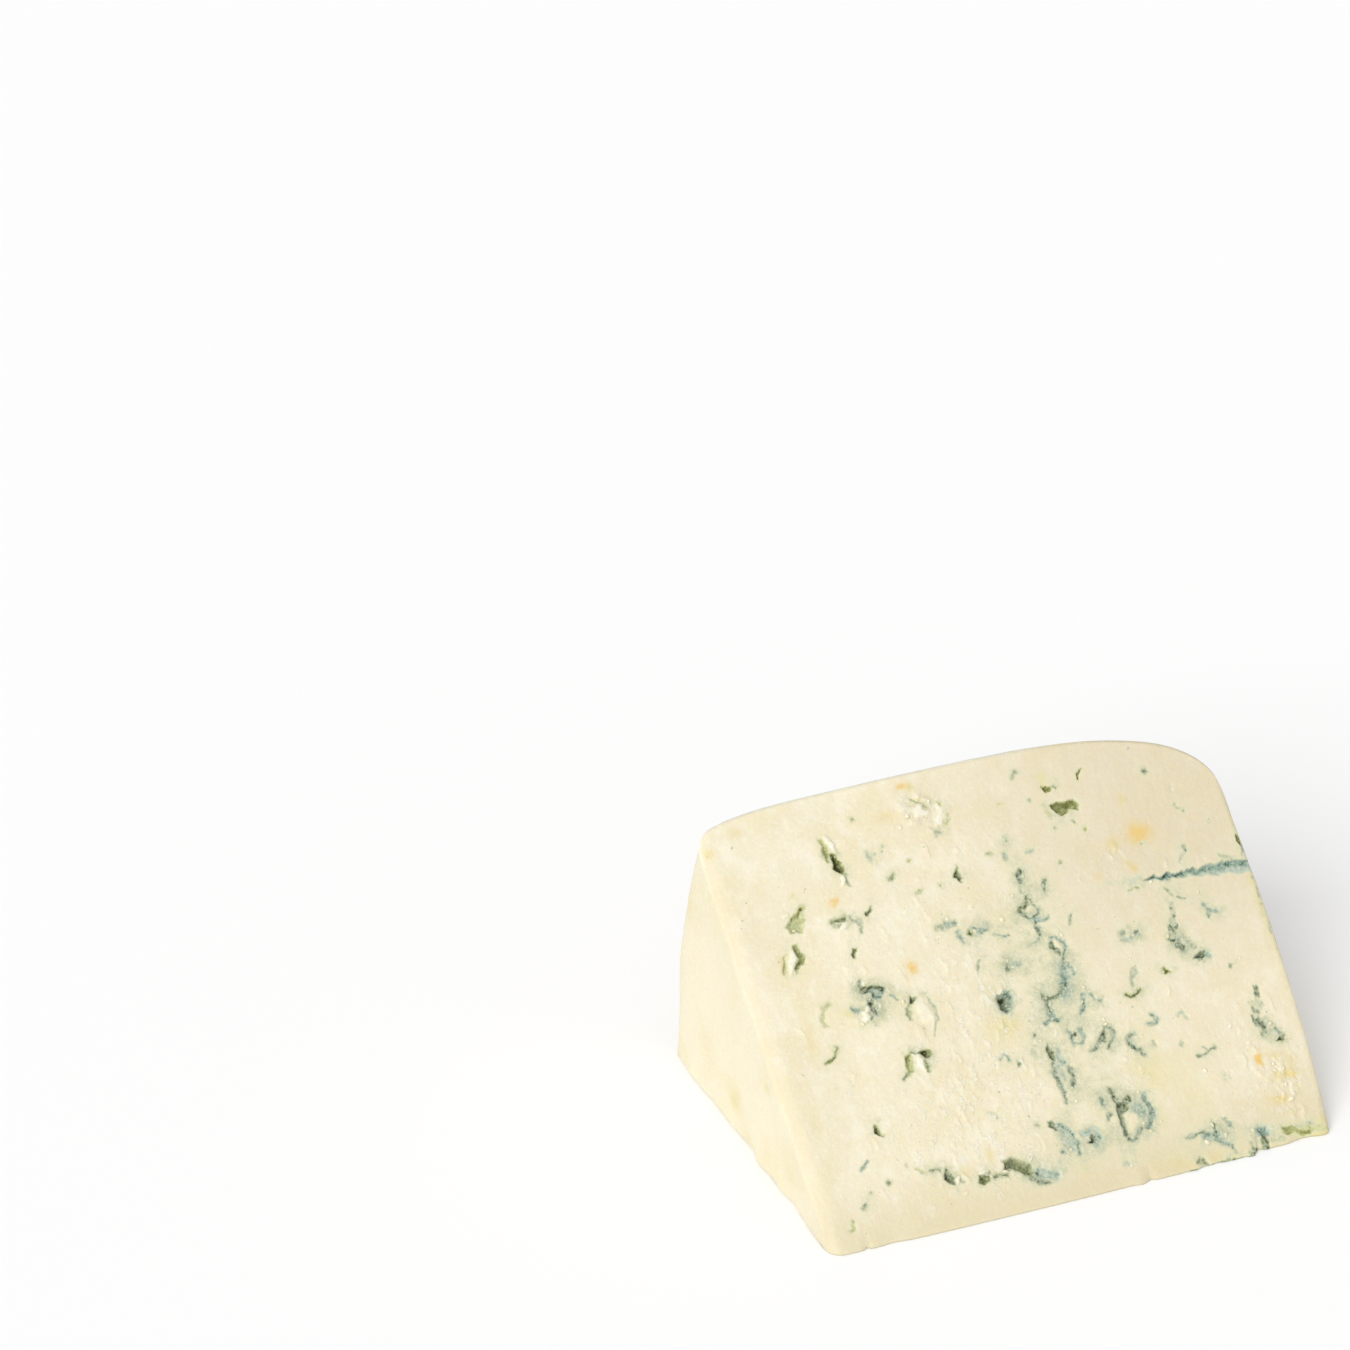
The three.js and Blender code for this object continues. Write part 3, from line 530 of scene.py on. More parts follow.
# %% Dark cores and pale fills
VEINS += [
    (((21.0, 47.2), (23.2, 47.0), (24.8, 46.6)), 0.8, 0.8, 0.4),
    (((22.3, 43.8), (22.4, 42.8)), 1.1, 0.92, 0.1),
    (((12.2, 63.3), (13.8, 63.9), (14.9, 64.8)), 1.0, 0.64, 1.0),
    (((24.8, 69.2), (24.9, 67.8), (25.1, 66.6)), 0.5, 0.6, 0.3),
    (((26.4, 33.8), (28.0, 33.6)), 0.5, 0.7, 0.7),
    (((28.7, 31.2), (28.4, 30.0)), 0.9, 0.45, 0.5),
    (((46.6, 39.4), (46.7, 38.2)), 2.0, 0.93, 0.3),
    (((60.9, 18.6), (61.6, 16.6)), 0.7, 0.74, 0.1),
    (((63.2, 16.0), (63.9, 16.4), (64.2, 15.7)), 0.7, 0.68, 0.0),
    (((53.4, 26.6), (54.2, 25.6)), 1.8, 0.34, -0.6),
    (((52.6, 24.6), (53.0, 23.0)), 2.4, 0.26, -0.4),
    (((59.6, 42.4), (59.4, 40.4), (59.3, 38.4)), 2.1, 0.42, -0.65),
    (((58.8, 39.0), (58.2, 38.3)), 1.0, 0.7, 0.2),
    (((54.4, 38.4), (54.4, 36.8), (54.6, 35.4)), 1.0, 0.58, -0.1),
    (((57.2, 52.8), (58.4, 52.6)), 1.7, 0.36, -0.8),
    (((46.2, 52.8), (47.6, 53.0)), 1.5, 0.34, -0.5),
    (((64.8, 14.6), (65.6, 12.6)), 2.4, 0.3, -0.5),
    (((42.4, 6.6), (44.2, 6.2), (45.8, 5.6)), 2.6, 0.38, -0.7),
    (((76.2, 5.4), (78.0, 5.8)), 1.8, 0.42, -0.8),
    (((55.9, 10.8), (56.2, 9.8)), 1.4, 0.4, -0.6),
    (((49.9, 13.2), (50.4, 11.2)), 1.8, 0.26, -0.3),
    (((84.8, 1.3), (86.2, 1.1)), 0.9, 0.8, 0.2),
    (((86.7, 3.0), (87.2, 1.8), (87.1, 0.9)), 1.2, 0.78, 0.1),
    (((88.4, 2.0), (90.2, 1.8)), 2.2, 0.24, 0.3),
    (((91.2, 3.2), (93.4, 2.6), (95.4, 2.0)), 1.5, 0.42, 1.0),
    (((76.4, 0.7), (79.2, 0.6)), 0.6, 0.66, 0.4),
    (((83.2, 0.5), (84.0, 0.4)), 0.8, 0.72, 0.3),
    (((80.2, 3.0), (80.6, 1.6)), 0.7, 0.45, 0.0),
    (((96.6, 56.2), (98.2, 55.3)), 1.3, 0.28, 0.0),
    (((69.2, 76.5), (69.4, 76.0)), 0.5, 0.55, 0.2),
    (((66.2, 73.2), (67.0, 71.0)), 1.2, 0.16, 0.6),
    (((82.8, 41.9), (83.5, 42.1), (83.5, 41.2)), 0.7, 0.7, 0.0),
    (((93.4, 23.2), (94.1, 23.4), (94.2, 22.6)), 0.8, 0.66, 0.0),
    (((87.4, 38.9), (88.0, 38.3)), 1.2, 0.4, -0.8),
    (((71.0, 0.2), (77.0, 0.3), (84.0, 0.3)), 0.6, 0.7, 0.7),
    (((95.2, 2.7), (99.4, 2.0)), 2.2, 0.25, 1.0),
    (((49.2, 13.6), (50.4, 12.0), (50.6, 9.8)), 2.4, 0.26, -0.8),
]
print(len(VEINS), "veins and specks with the cores and fills")

# %% [markdown]
# The last ones are faint and small, and fill the plain paste between the rest.

# %% Faint specks
VEINS += [
    (((56.7, 69.0), (56.7, 68.0)), 0.9, 0.4, -0.3),
    (((56.0, 65.9), (56.1, 65.0)), 1.0, 0.4, -0.3),
    (((60.2, 65.3), (61.2, 65.1)), 0.9, 0.35, -0.4),
    (((91.2, 67.6), (91.5, 66.8)), 0.9, 0.35, 0.0),
    (((92.2, 66.1),), 0.8, 0.45, 0.2),
    (((96.6, 63.6), (96.4, 62.8)), 0.8, 0.3, -0.2),
    (((44.2, 72.8), (45.2, 72.4)), 1.0, 0.35, 0.0),
    (((33.5, 72.6),), 0.9, 0.4, -0.4),
    (((37.8, 68.6),), 0.9, 0.4, 1.0),
    (((58.0, 75.3),), 0.7, 0.3, 0.8),
    (((83.3, 16.4), (83.8, 15.0)), 1.0, 0.2, -0.2),
    (((45.0, 15.4), (45.6, 14.9)), 0.9, 0.35, 0.0),
    (((59.0, 17.4), (58.8, 16.2)), 1.0, 0.5, -0.3),
    (((80.6, 8.2), (81.4, 6.6)), 0.9, 0.4, -0.3),
    (((91.3, 35.8),), 0.8, 0.5, 0.3),
    (((66.2, 62.0),), 0.8, 0.5, 0.6),
]
print(len(VEINS), "veins and specks in all")

# %% [markdown]
# Dotted veins are broken up, as where a crack closed again. They have points, a width and
# how far the mould has grown.

# %% Dotted veins
DOTTED = [
    (((84.0, 49.2), (83.8, 47.2), (83.2, 45.2)), 1.3, 0.6),
    (((82.4, 45.0), (81.9, 43.0), (82.6, 41.8)), 1.5, 0.5),
    (((84.6, 43.0), (85.8, 40.6)), 1.2, 0.35),
    (((94.6, 30.4), (94.5, 28.0), (93.8, 26.0)), 1.2, 0.6),
    (((93.0, 27.8), (92.8, 24.5), (93.4, 22.4)), 1.5, 0.5),
    (((78.0, 0.9), (84.0, 0.9)), 1.6, 0.55),
    (((101.3, 57.0), (101.8, 47.0), (101.7, 36.0)), 1.3, 0.3),
]
print(len(DOTTED), "dotted veins")

# %% [markdown]
# ## Flakes
#
# Flakes are scraps of clean paste that the knife pushed up at the edge of an opening. Each
# has a place, length, width, turn in degrees and height.

# %% List the flakes
FLAKES = (
    (24.1, 75.0, 4.4, 1.4, 99, 0.5),
    (24.2, 67.9, 2.4, 1.1, 88, 0.45),
    (9.9, 55.4, 5.0, 1.3, 66, 0.6),
    (27.5, 31.8, 3.4, 1.2, 86, 0.5),
    (31.4, 40.6, 5.8, 3.2, 100, 0.3),
    (29.2, 36.6, 3.4, 1.6, 80, 0.2),
    (63.2, 11.6, 4.2, 1.6, 72, 0.12),
    (68.8, 75.5, 2.0, 0.5, 52, 0.25),
    (41.1, 56.3, 1.3, 0.6, 80, 0.35),
    (45.6, 53.0, 0.9, 0.7, 0, 0.3),
    (50.2, 45.2, 0.8, 0.6, 0, 0.25),
    (21.5, 48.4, 1.6, 0.6, 95, 0.3),
    (19.7, 42.2, 2.4, 1.2, 70, 0.4),
    (20.9, 43.3, 1.6, 0.9, 40, 0.4),
    (21.6, 59.6, 2.4, 0.8, 40, 0.25),
    (11.2, 64.0, 1.8, 0.7, 60, 0.2),
    (32.2, 9.1, 1.5, 0.7, 0, 0.3),
    (27.3, 8.8, 1.6, 0.9, 60, 0.35),
    (36.4, 8.3, 1.4, 0.5, 0, 0.25),
    (47.3, 68.4, 1.8, 0.7, 80, 0.25),
    (60.2, 46.9, 2.2, 1.0, 100, 0.2),
    (57.2, 55.2, 1.8, 1.2, 30, 0.15),
    (46.8, 41.3, 1.6, 0.7, 30, 0.25),
)
print(len(FLAKES), "flakes, the highest", max(flake_and_highlight[5] for flake_and_highlight in FLAKES), "mm")

# %% [markdown]
# ## Stains
#
# Fat and whey gather in soft patches. A stain has its place, two half widths and two
# strengths, one for tan and one for yellow.

# %% List the stains
STAINS = (
    (82.5, 63.8, 2.3, 1.8, 0.8, 0.6),
    (78.6, 58.6, 0.9, 0.8, 0.2, 0.5),
    (77.0, 63.0, 1.2, 1.3, 0.15, 0.7),
    (21.3, 64.4, 0.8, 0.7, 1.1, 0.4),
    (31.8, 49.0, 0.65, 0.9, 1.5, 0.3),
    (40.4, 82.6, 0.9, 0.6, 0.9, 0.3),
    (41.9, 82.1, 1.1, 0.7, 0.1, 1.0),
    (36.6, 77.8, 2.4, 1.0, 0.25, 0.25),
    (42.0, 79.4, 2.2, 0.6, 0.0, 0.55),
    (47.2, 75.6, 0.7, 2.0, 0.1, 0.6),
    (90.7, 17.2, 0.7, 1.3, 1.3, 0.8),
    (94.2, 13.6, 2.4, 1.4, 0.15, 0.6),
    (91.8, 9.4, 2.0, 0.9, 0.3, 0.5),
    (96.6, 15.6, 1.2, 1.4, 0.0, 0.4),
    (7.9, 55.2, 0.6, 1.8, 0.5, 0.6),
    (67.5, 77.8, 1.0, 1.4, 0.0, 1.0),
    (17.3, 43.6, 1.4, 1.1, 0.1, 0.7),
    (17.4, 41.4, 1.0, 0.5, 0.1, 0.5),
    (46.2, 34.9, 2.2, 1.6, 0.0, 0.8),
    (44.6, 41.6, 1.0, 1.6, 0.0, 0.45),
    (51.4, 6.2, 0.6, 2.0, 0.2, 0.9),
    (34.8, 12.2, 0.7, 2.2, 0.1, 0.5),
    (28.8, 9.6, 1.0, 1.2, 0.1, 0.5),
    (69.5, 21.0, 3.5, 5.0, 0.0, 0.55),
    (76.0, 16.0, 5.0, 5.0, 0.0, 0.3),
    (43.0, 34.0, 3.0, 4.0, 0.0, 0.25),
    (51.0, 52.0, 2.6, 3.0, 0.0, 0.3),
    (8.0, 46.0, 2.0, 9.0, 0.0, 0.2),
    (68.6, 11.0, 1.4, 2.2, 0.1, 0.5),
    (97.4, 2.2, 3.0, 1.6, 0.0, 1.0),
    (93.0, 3.2, 2.8, 0.8, 0.2, 1.0),
    (58.1, 75.2, 0.6, 0.4, 0.9, 0.1),
    (71.8, 58.0, 0.7, 0.4, 0.5, 0.5),
    (14.1, 67.0, 0.9, 0.6, 0.0, 0.8),
    (0.9, 78.3, 0.9, 0.8, 0.1, 0.8),
    (81.5, 71.0, 0.7, 1.0, 0.1, 0.6),
    (79.4, 57.7, 0.8, 0.6, 0.3, 0.6),
    (81.5, 66.0, 0.9, 2.4, 0.1, 0.2),
    (69.0, 3.0, 6.0, 2.0, 0.0, 0.35),
    (80.0, 1.0, 9.0, 1.6, 0.0, 0.4),
    (52.4, 45.0, 1.4, 3.4, 0.0, 0.3),
    (101.4, 50.0, 1.1, 14.0, 0.0, 0.8),
    (7.4, 81.0, 1.6, 0.8, 0.1, 0.5),
    (8.6, 41.0, 1.0, 5.0, 0.1, 0.25),
    (4.8, 24.0, 1.2, 7.0, 0.0, 0.3),
    (95.4, 13.4, 1.8, 0.6, 0.15, 0.7),
    (92.6, 8.8, 1.4, 0.5, 0.2, 0.7),
    (96.4, 9.6, 0.6, 2.0, 0.0, 0.5),
    (93.8, 17.2, 1.5, 0.6, 0.1, 0.5),
    (94.6, 6.4, 2.2, 0.5, 0.0, 0.4),
    (92.4, 3.8, 2.4, 0.8, 0.0, 0.7),
    (99.6, 1.8, 2.4, 1.6, 0.0, 0.6),
)
print(len(STAINS), "stains")

# %% [markdown]
# Clouded parts have a thin haze of young mould over them: place, half widths, strength.
# Crumbly parts are ovals where the curd never knit: place, length, width, turn in degrees
# and strength.

# %% Clouded and crumbly parts
CLOUDED = (
    (56, 47, 9, 15, 0.8),
    (60, 15, 10, 12, 0.55),
    (52, 8, 12, 7, 0.3),
    (88, 50, 12, 12, 0.3),
    (24, 44, 7, 7, 0.2),
    (78, 4, 12, 4, 0.4),
)
CRUMBLY = (
    (43.2, 77.0, 12.5, 9.0, 150, 1.0),
    (21.0, 43.0, 6.5, 5.0, 20, 1.0),
    (94.0, 12.0, 9.0, 9.0, 0, 0.5),
)
print(len(CLOUDED), "clouded and", len(CRUMBLY), "crumbly parts")

# %% [markdown]
# ## Tears
#
# Soft paste sticks to a knife and tears in short lips along its way, thickly in some parts
# of the face and hardly at all in others. Each part has its middle, its spread both ways
# and how many lips it gets. The lips are drawn by lot with a fixed seed.

# %% Draw the tears
TORN_PARTS = (
    (38, 27, 9, 10, 46),
    (30, 12, 9, 5, 18),
    (52, 66, 10, 4, 7),
    (67, 26, 2, 8, 12),
    (93, 14, 4, 6, 26),
    (43, 46, 7, 6, 18),
    (74, 60, 6, 4, 4),
    (22, 52, 7, 6, 9),
    (86, 32, 5, 7, 4),
    (12, 26, 4, 8, 4),
)
TEAR_SEED = 12
draw = np.random.default_rng(TEAR_SEED)
TEARS = []
for x, s, wide, tall, number in TORN_PARTS:
    for tear in range(number):
        middle = np.clip(draw.normal((x, s), (wide, tall)), (4, 6), (97, 79))
        lean = math.radians(draw.normal(94, 12))
        half = draw.uniform(0.4, 2.2) * np.array([math.cos(lean), math.sin(lean)])
        TEARS.append((middle - half, middle + half, draw.uniform(0.04, 0.17), draw.choice((-1, 1))))
print(len(TEARS), "tears")

# %% [markdown]
# ## How near is a mark
#
# Three measures tell how a place on the cut face lies to a mark: how far it is from a bent
# line, where it is in an oval, and how far inside a closed loop. A fourth picks out the
# points in a mark's neighbourhood, so that each mark is worked out for those alone.


# %% Distances to marks
def line_distance(place, path):
    path = np.array(path, float)
    if len(path) == 1:
        return np.linalg.norm(place - path[0], axis=1)
    best = np.full(len(place), np.inf)
    for start, end in zip(path[:-1], path[1:]):
        along = end - start
        share = np.clip((place - start) @ along / (along @ along), 0, 1)
        best = np.minimum(best, np.linalg.norm(place - start - share[:, None] * along, axis=1))
    return best


def oval_reach(place, mark):
    """1 on the rim of an oval mark, less inside."""
    x, s, length, width, turn = mark[:5]
    angle = math.radians(turn)
    along = (place[:, 0] - x) * math.cos(angle) + (place[:, 1] - s) * math.sin(angle)
    across = (place[:, 1] - s) * math.cos(angle) - (place[:, 0] - x) * math.sin(angle)
    return np.hypot(along / (length / 2), across / (width / 2))


def loop_inset(place, loop):
    """How far inside a closed loop each place lies; less than nought outside."""
    closed = loop + loop[:1]
    inside = np.zeros(len(place), bool)
    for (ax, ay), (bx, by) in zip(closed[:-1], closed[1:]):
        between = (ay > place[:, 1]) != (by > place[:, 1])
        crossing = (bx - ax) * (place[:, 1] - ay) / (by - ay if by != ay else 1e-9) + ax
        inside ^= between & (place[:, 0] < crossing)
    return np.where(inside, 1, -1) * line_distance(place, closed)


def near(place, path, margin):
    low, high = np.min(path, axis=0) - margin, np.max(path, axis=0) + margin
    return np.flatnonzero(((place > low) & (place < high)).all(axis=1))


centre_of_channel = line_distance(np.array([[90.0, 54.0]]), (CHANNEL["start"], CHANNEL["end"]))
print("the place (90, 54) lies", round(centre_of_channel[0], 1), "mm from the needle's line")

# %% [markdown]
# ## A finer skin where the detail is
#
# Triangles are split only where something small has to be drawn. The edge length wanted is
# shortest on a mark and grows within about two millimetres of it. Plain paste and all that
# lies below the cut face keep large triangles.

# %% How fine the skin has to be
FINEST, PLAIN = 0.285, 1.1
UNSEEN = 3.0


def wanted_length(middle):
    place = np.stack([middle[:, 0], middle @ ALONG_CUT], 1)
    depth = -(middle @ OUT_OF_CUT)
    gap = np.full(len(middle), 9.0)
    for path, width, *rest in VEINS + DOTTED:
        close = near(place, path, width / 2 + 3)
        gap[close] = np.minimum(gap[close], line_distance(place[close], path) - width / 2)
    for loop, *rest in POCKETS:
        close = near(place, loop, 3)
        gap[close] = np.minimum(gap[close], -loop_inset(place[close], loop))
    for mark in FLAKES:
        close = near(place, [mark[:2]], mark[2] / 2 + 3)
        away = (oval_reach(place[close], mark) - 1) * mark[3] / 2
        gap[close] = np.minimum(gap[close], away)
    for start, end, *rest in TEARS:
        close = near(place, (start, end), 3)
        gap[close] = np.minimum(gap[close], line_distance(place[close], (start, end)) - 0.1)
    gap = np.minimum(gap, line_distance(place, (CHANNEL["start"], CHANNEL["end"])) - 1.6)
    fine = FINEST + (PLAIN - FINEST) * soft_step(gap, 0.25, 2.2)
    return np.where((depth > 2.0) | (middle[:, 2] < 0.05), UNSEEN, fine)


samples = np.array([[70.0, 0, 0], [88.0, 0, 0]]) + np.array([[72.0], [68.0]]) * ALONG_CUT
in_pocket, on_paste = wanted_length(samples)
print("edge wanted in a pocket", round(in_pocket, 2), "mm, on plain paste", round(on_paste, 2), "mm")

# %% [markdown]
# Each round halves every edge that is longer than wanted at its middle. Both triangles at an
# edge share the new point, so the skin stays closed.


# %% Split the long edges
def split_long_edges(points, triangles):
    keys = np.sort(np.stack([triangles, np.roll(triangles, -1, axis=1)], 2), axis=2).reshape(-1, 2)
    code, index = np.unique(keys[:, 0] * len(points) + keys[:, 1], return_inverse=True)
    ends = points[np.stack([code // len(points), code % len(points)], 1)]
    middle = ends.mean(axis=1)
    length = np.linalg.norm(ends[:, 0] - ends[:, 1], axis=1)
    cut = length > 1.3 * wanted_length(middle)
    number = np.full(len(code), -1)
    number[cut] = len(points) + np.arange(cut.sum())
    halves = number[index].reshape(-1, 3)
    count = (halves >= 0).sum(axis=1)
    made = [triangles[count == 0]]
    corner, half = triangles[count == 3], halves[count == 3]
    made += [np.stack([corner[:, i], half[:, i], half[:, i - 1]], 1) for i in range(3)] + [half]
    for turn in range(3):
        corner, half = np.roll(triangles, -turn, axis=1), np.roll(halves, -turn, axis=1)
        one = (count == 1) & (half[:, 0] >= 0)
        a, b, c = corner[one].T
        made += [np.stack([a, half[one, 0], c], 1), np.stack([half[one, 0], b, c], 1)]
        two = (count == 2) & (half[:, 2] < 0)
        a, b, c = corner[two].T
        first, second = half[two, 0], half[two, 1]
        made += [np.stack([first, b, second], 1)]
        made += [np.stack([a, first, second], 1), np.stack([a, second, c], 1)]
    return np.concatenate([points, middle[cut]]), np.concatenate(made), int(cut.sum())


for step in range(5):
    points, triangles, split = split_long_edges(points, triangles)
    print("round", step + 1, "split", split, "edges:", len(triangles), "triangles")
    if split == 0:
        break

# %% [markdown]
# ## Push the marks into the cut face
#
# The outlines of the lists are too clean for cheese, so each place is first shifted by
# two sizes of waves, and every edge comes out ragged. Depths and colours then come from
# the same shifted places, and so mould always lies where the paste is open. A point is
# only ever moved straight in from the cut face, and never through to the underside.

# %% Places, ragged edges and empty marks
count = len(points)
place = np.stack([points[:, 0], points @ ALONG_CUT], 1)
flat = np.stack([place[:, 0], place[:, 1], np.zeros(count)], 1)
ragged = np.stack([waves(flat, 1.5, 31), waves(flat, 1.5, 32)], 1) * 0.34
ragged += np.stack([waves(flat, 0.6, 33), waves(flat, 0.6, 34)], 1) * 0.2
shifted = place + ragged
grain = waves(flat, 0.5, 35)
patches = waves(flat, 1.1, 36)

depth = np.zeros(count)
lift = np.zeros(count)
mould_and_shadow = np.zeros(count)
tone_sum = np.zeros(count)
tone_weight = np.full(count, 1e-6)
haze = np.zeros(count)
flake_and_highlight = np.zeros(count)


def grow(close, amount, tone):
    mould_and_shadow[close] = np.maximum(mould_and_shadow[close], amount)
    tone_sum[close] += tone * amount**2
    tone_weight[close] += amount**2


print(count, "points, shifted by up to", round(float(np.abs(ragged).max()), 2), "mm")

# %% [markdown]
# ## Pockets
#
# A pocket's wall falls steeply from its rim. Mould lines it and is thickest in the middle,
# and a haze of young mould spreads into the paste round it. The one deep pocket has a
# gentler wall, so light reaches its floor.

# %% Pockets into the face
DEEP = 2.3

for loop, hollow, strength, tone in POCKETS:
    close = near(place, loop, 4)
    inset = loop_inset(shifted[close], loop)
    size = inset.max()
    wall = 1.7 if hollow > DEEP else 0.75
    opened = hollow * soft_step(inset, -0.15 * wall, min(wall, size))
    depth[close] = np.maximum(depth[close], opened * (1 + 0.1 * patches[close]))
    shade = strength * (0.76 + 0.14 * soft_step(inset, 0.1, size) + 0.1 * patches[close])
    blur = 0.9 if hollow > DEEP else 0.28
    grow(close, shade * soft_step(inset, -0.8 * blur, blur), tone)
    haze[close] += 0.7 * strength * (1 - soft_step(-inset, 0.0, 2.8))
print("points in open pockets:", int((depth > 0.2).sum()))

# %% [markdown]
# ## Veins
#
# A vein is a shallow furrow with a dark middle and a soft edge, and its haze is wider than
# a pocket's. Dotted veins are the same line broken up by waves.

# %% Veins into the face
for path, width, strength, tone in VEINS:
    close = near(place, path, width / 2 + 4)
    away = line_distance(shifted[close], path)
    reach = away / (width / 2) + 0.3 * patches[close]
    body = 0.7 * (1 - soft_step(reach, 0.2, 0.95)) + 0.3 * (1 - soft_step(reach, 0.6, 2.2))
    furrow = 0.05 + 0.38 * strength * min(width, 1.4)
    depth[close] = np.maximum(depth[close], furrow * (1 - soft_step(reach, 0.4, 1.2)))
    grow(close, 0.92 * strength * body * (1 + 0.35 * grain[close]), tone)
    haze[close] += 0.6 * strength * (1 - soft_step(away - width / 2, 0.0, 3.2))

dots = soft_step(waves(flat, 0.75, 37), 0.1, 0.4)
for path, width, strength in DOTTED:
    close = near(place, path, width / 2 + 4)
    away = line_distance(shifted[close], path)
    band = (1 - soft_step(away / (width / 2), 0.6, 1.2)) * (0.3 + 0.7 * dots[close])
    grow(close, strength * band, 0.0)
    depth[close] = np.maximum(depth[close], 0.25 * band)
    haze[close] += 0.4 * strength * (1 - soft_step(away - width / 2, 0.0, 2.6))

print("open or mouldy points:", int((mould_and_shadow > 0.2).sum()), "of", count)

# %% [markdown]
# ## The needle's channel
#
# The channel runs in from the right side, parallel to the wheel's axis, because the wheel
# was pierced through its flat faces. The knife has opened it lengthwise: the upper lip
# hangs over, and the dark band under it is painted shadow, put in as the darkest blue
# mould. Pale blue mould covers the lower bank. It narrows inwards and ends in a faint
# smear that the knife pulled along.

# %% Open the channel
start, end = np.array(CHANNEL["start"]), np.array(CHANNEL["end"])
along = (end - start) / np.linalg.norm(end - start)
across = np.array([-along[1], along[0]])
run = (place - start) @ along
side = (shifted - start) @ across
top_edge = 0.3 + 0.45 * soft_step(run, 4.0, 18.0)
low_edge = -0.45 - 1.35 * soft_step(run, 5.0, 18.0)
opened = soft_step(run, -0.6, 1.6) * (1 - soft_step(side, top_edge - 0.1, top_edge + 0.2))
opened = opened * soft_step(side, low_edge - 0.3, low_edge + 0.3)
bank = np.clip((side - low_edge) / (top_edge - low_edge), 0, 1)
depth = np.maximum(depth, CHANNEL["depth"] * opened * soft_step(bank, 0.0, 0.8))
# Painted shadow: the upper part of the opening, under the lip, gets the darkest blue mould. It is darkest
# at the inner end, then striped and paler towards the right.
lip = soft_step(bank, 0.35, 0.7) * soft_step(run, 0.2, 3.0)
stripes = 0.5 + 0.5 * waves(np.stack([run / 0.45, side / 1.3, 0 * run], 1), 1.0, 47)
shadow = 0.9 - 0.3 * soft_step(run, 3.0, 8.0) * stripes - 0.24 * soft_step(run, 8.0, 14.0)
amount = opened * (0.24 + (0.92 * shadow - 0.24) * lip) * (1 + 0.12 * patches)
grow(slice(None), amount, -0.9)
haze += 0.25 * soft_step(run, -2.0, 2.0) * np.exp(-((side / 2.4) ** 2))
smear = soft_step(run, -16.0, -6.0) * (1 - soft_step(run, -1.5, 1.0)) * np.exp(-(((side - 0.2) / 1.5) ** 2))
grow(slice(None), 0.17 * smear * soft_step(patches, -0.8, 0.4), -0.8)
print("channel", round(float(np.linalg.norm(end - start)), 1), "mm long")

# %% [markdown]
# ## Haze, stains and crumbly curd
#
# Young mould clouds whole parts of the face. Stains are soft patches of tan and yellow, and
# the paste is a little yellower along the thin edge. In the crumbly parts small pale lumps
# of curd stand up from the cut.

# %% Cloud, stain and crumble
for x, s, wide, tall, strength in CLOUDED:
    haze += strength * np.exp(-(((place[:, 0] - x) / wide) ** 2) - ((place[:, 1] - s) / tall) ** 2)
haze = 0.25 * (1 - np.exp(-haze)) * (1 + 0.4 * patches + 0.5 * waves(flat, 3.2, 40))
tone = tone_sum / tone_weight
tone = tone * soft_step(mould_and_shadow, 0.0, 0.25)

tan = np.zeros(count)
yellow = 0.17 * (1 - soft_step(place[:, 1], 0, 16))
for x, s, wide, tall, brown, golden in STAINS:
    spread = np.exp(-(((shifted[:, 0] - x) / wide) ** 2) - ((shifted[:, 1] - s) / tall) ** 2)
    tan += brown * spread
    yellow += golden * spread

crumbly = np.zeros(count)
for mark in CRUMBLY:
    close = near(place, [mark[:2]], mark[2])
    inside_mark = 1 - soft_step(oval_reach(shifted[close], mark), 0.5, 1.1)
    crumbly[close] = np.maximum(crumbly[close], mark[5] * inside_mark)
lumps = waves(flat, 1.3, 38) + 0.6 * waves(flat, 0.7, 39)
lift += crumbly * 0.4 * soft_step(lumps, 0.0, 0.4)
flake_and_highlight = np.maximum(flake_and_highlight, 0.9 * crumbly * soft_step(lumps, 0.25, 0.6))
print("stained points:", int((tan + yellow > 0.3).sum()), "crumbly points:", int((crumbly > 0.3).sum()))

# %% [markdown]
# ## Flakes
#
# A flake covers what lies under it. It has no mould of its own, stands a little proud and
# is paler than the paste round it, because it was torn and not cut.

# %% Raise the flakes
for mark in FLAKES:
    close = near(place, [mark[:2]], mark[2] / 2 + 1.5)
    reach = oval_reach(shifted[close], mark)
    scrap = 1 - soft_step(reach, 0.6, 1.1)
    depth[close] *= 1 - scrap
    lift[close] += mark[5] * scrap * (0.75 + 0.4 * patches[close])
    flake_and_highlight[close] = np.maximum(flake_and_highlight[close], min(1.0, 2 * mark[5]) * scrap)
    mould_and_shadow[close] *= 1 - soft_step(scrap, 0.1, 0.6)
    haze[close] *= 1 - 0.5 * scrap
print("deepest point", round(depth.max(), 2), "mm, highest flake", round(lift.max(), 2), "mm")

# %% [markdown]
# ## Which way each point looks
#
# Marks belong to the upper cut face alone. A point's normal is the sum of its triangles',
# and tells how far it looks out of the cut. Points well below the cut plane lose all marks,
# so that nothing shows through on the rim or on the sides.

# %% Normals and the reach of the cut face
normals = np.zeros_like(points)
corners = points[triangles]
faces = np.cross(corners[:, 1] - corners[:, 0], corners[:, 2] - corners[:, 0])
for i in range(3):
    np.add.at(normals, triangles[:, i], faces)
normals /= np.linalg.norm(normals, axis=1, keepdims=True) + 1e-12
facing = normals @ OUT_OF_CUT
below = -(points @ OUT_OF_CUT)
near_cut = 1 - soft_step(below, 1.2, 2.4)
for mark in (mould_and_shadow, tan, yellow, flake_and_highlight, lift):
    mark *= near_cut
on_cut = soft_step(facing, 0.55, 0.9) * soft_step(place[:, 1], 0.5, 4.0)
print("points on the cut face:", int((on_cut > 0.5).sum()))

# %% [markdown]
# ## The knife's own marks
#
# A knife drags soft paste down the cut. It leaves long faint ridges that run from rind to
# thin edge and small torn scales between them. Each lip rises slowly on one side and falls
# off sharply on the other.

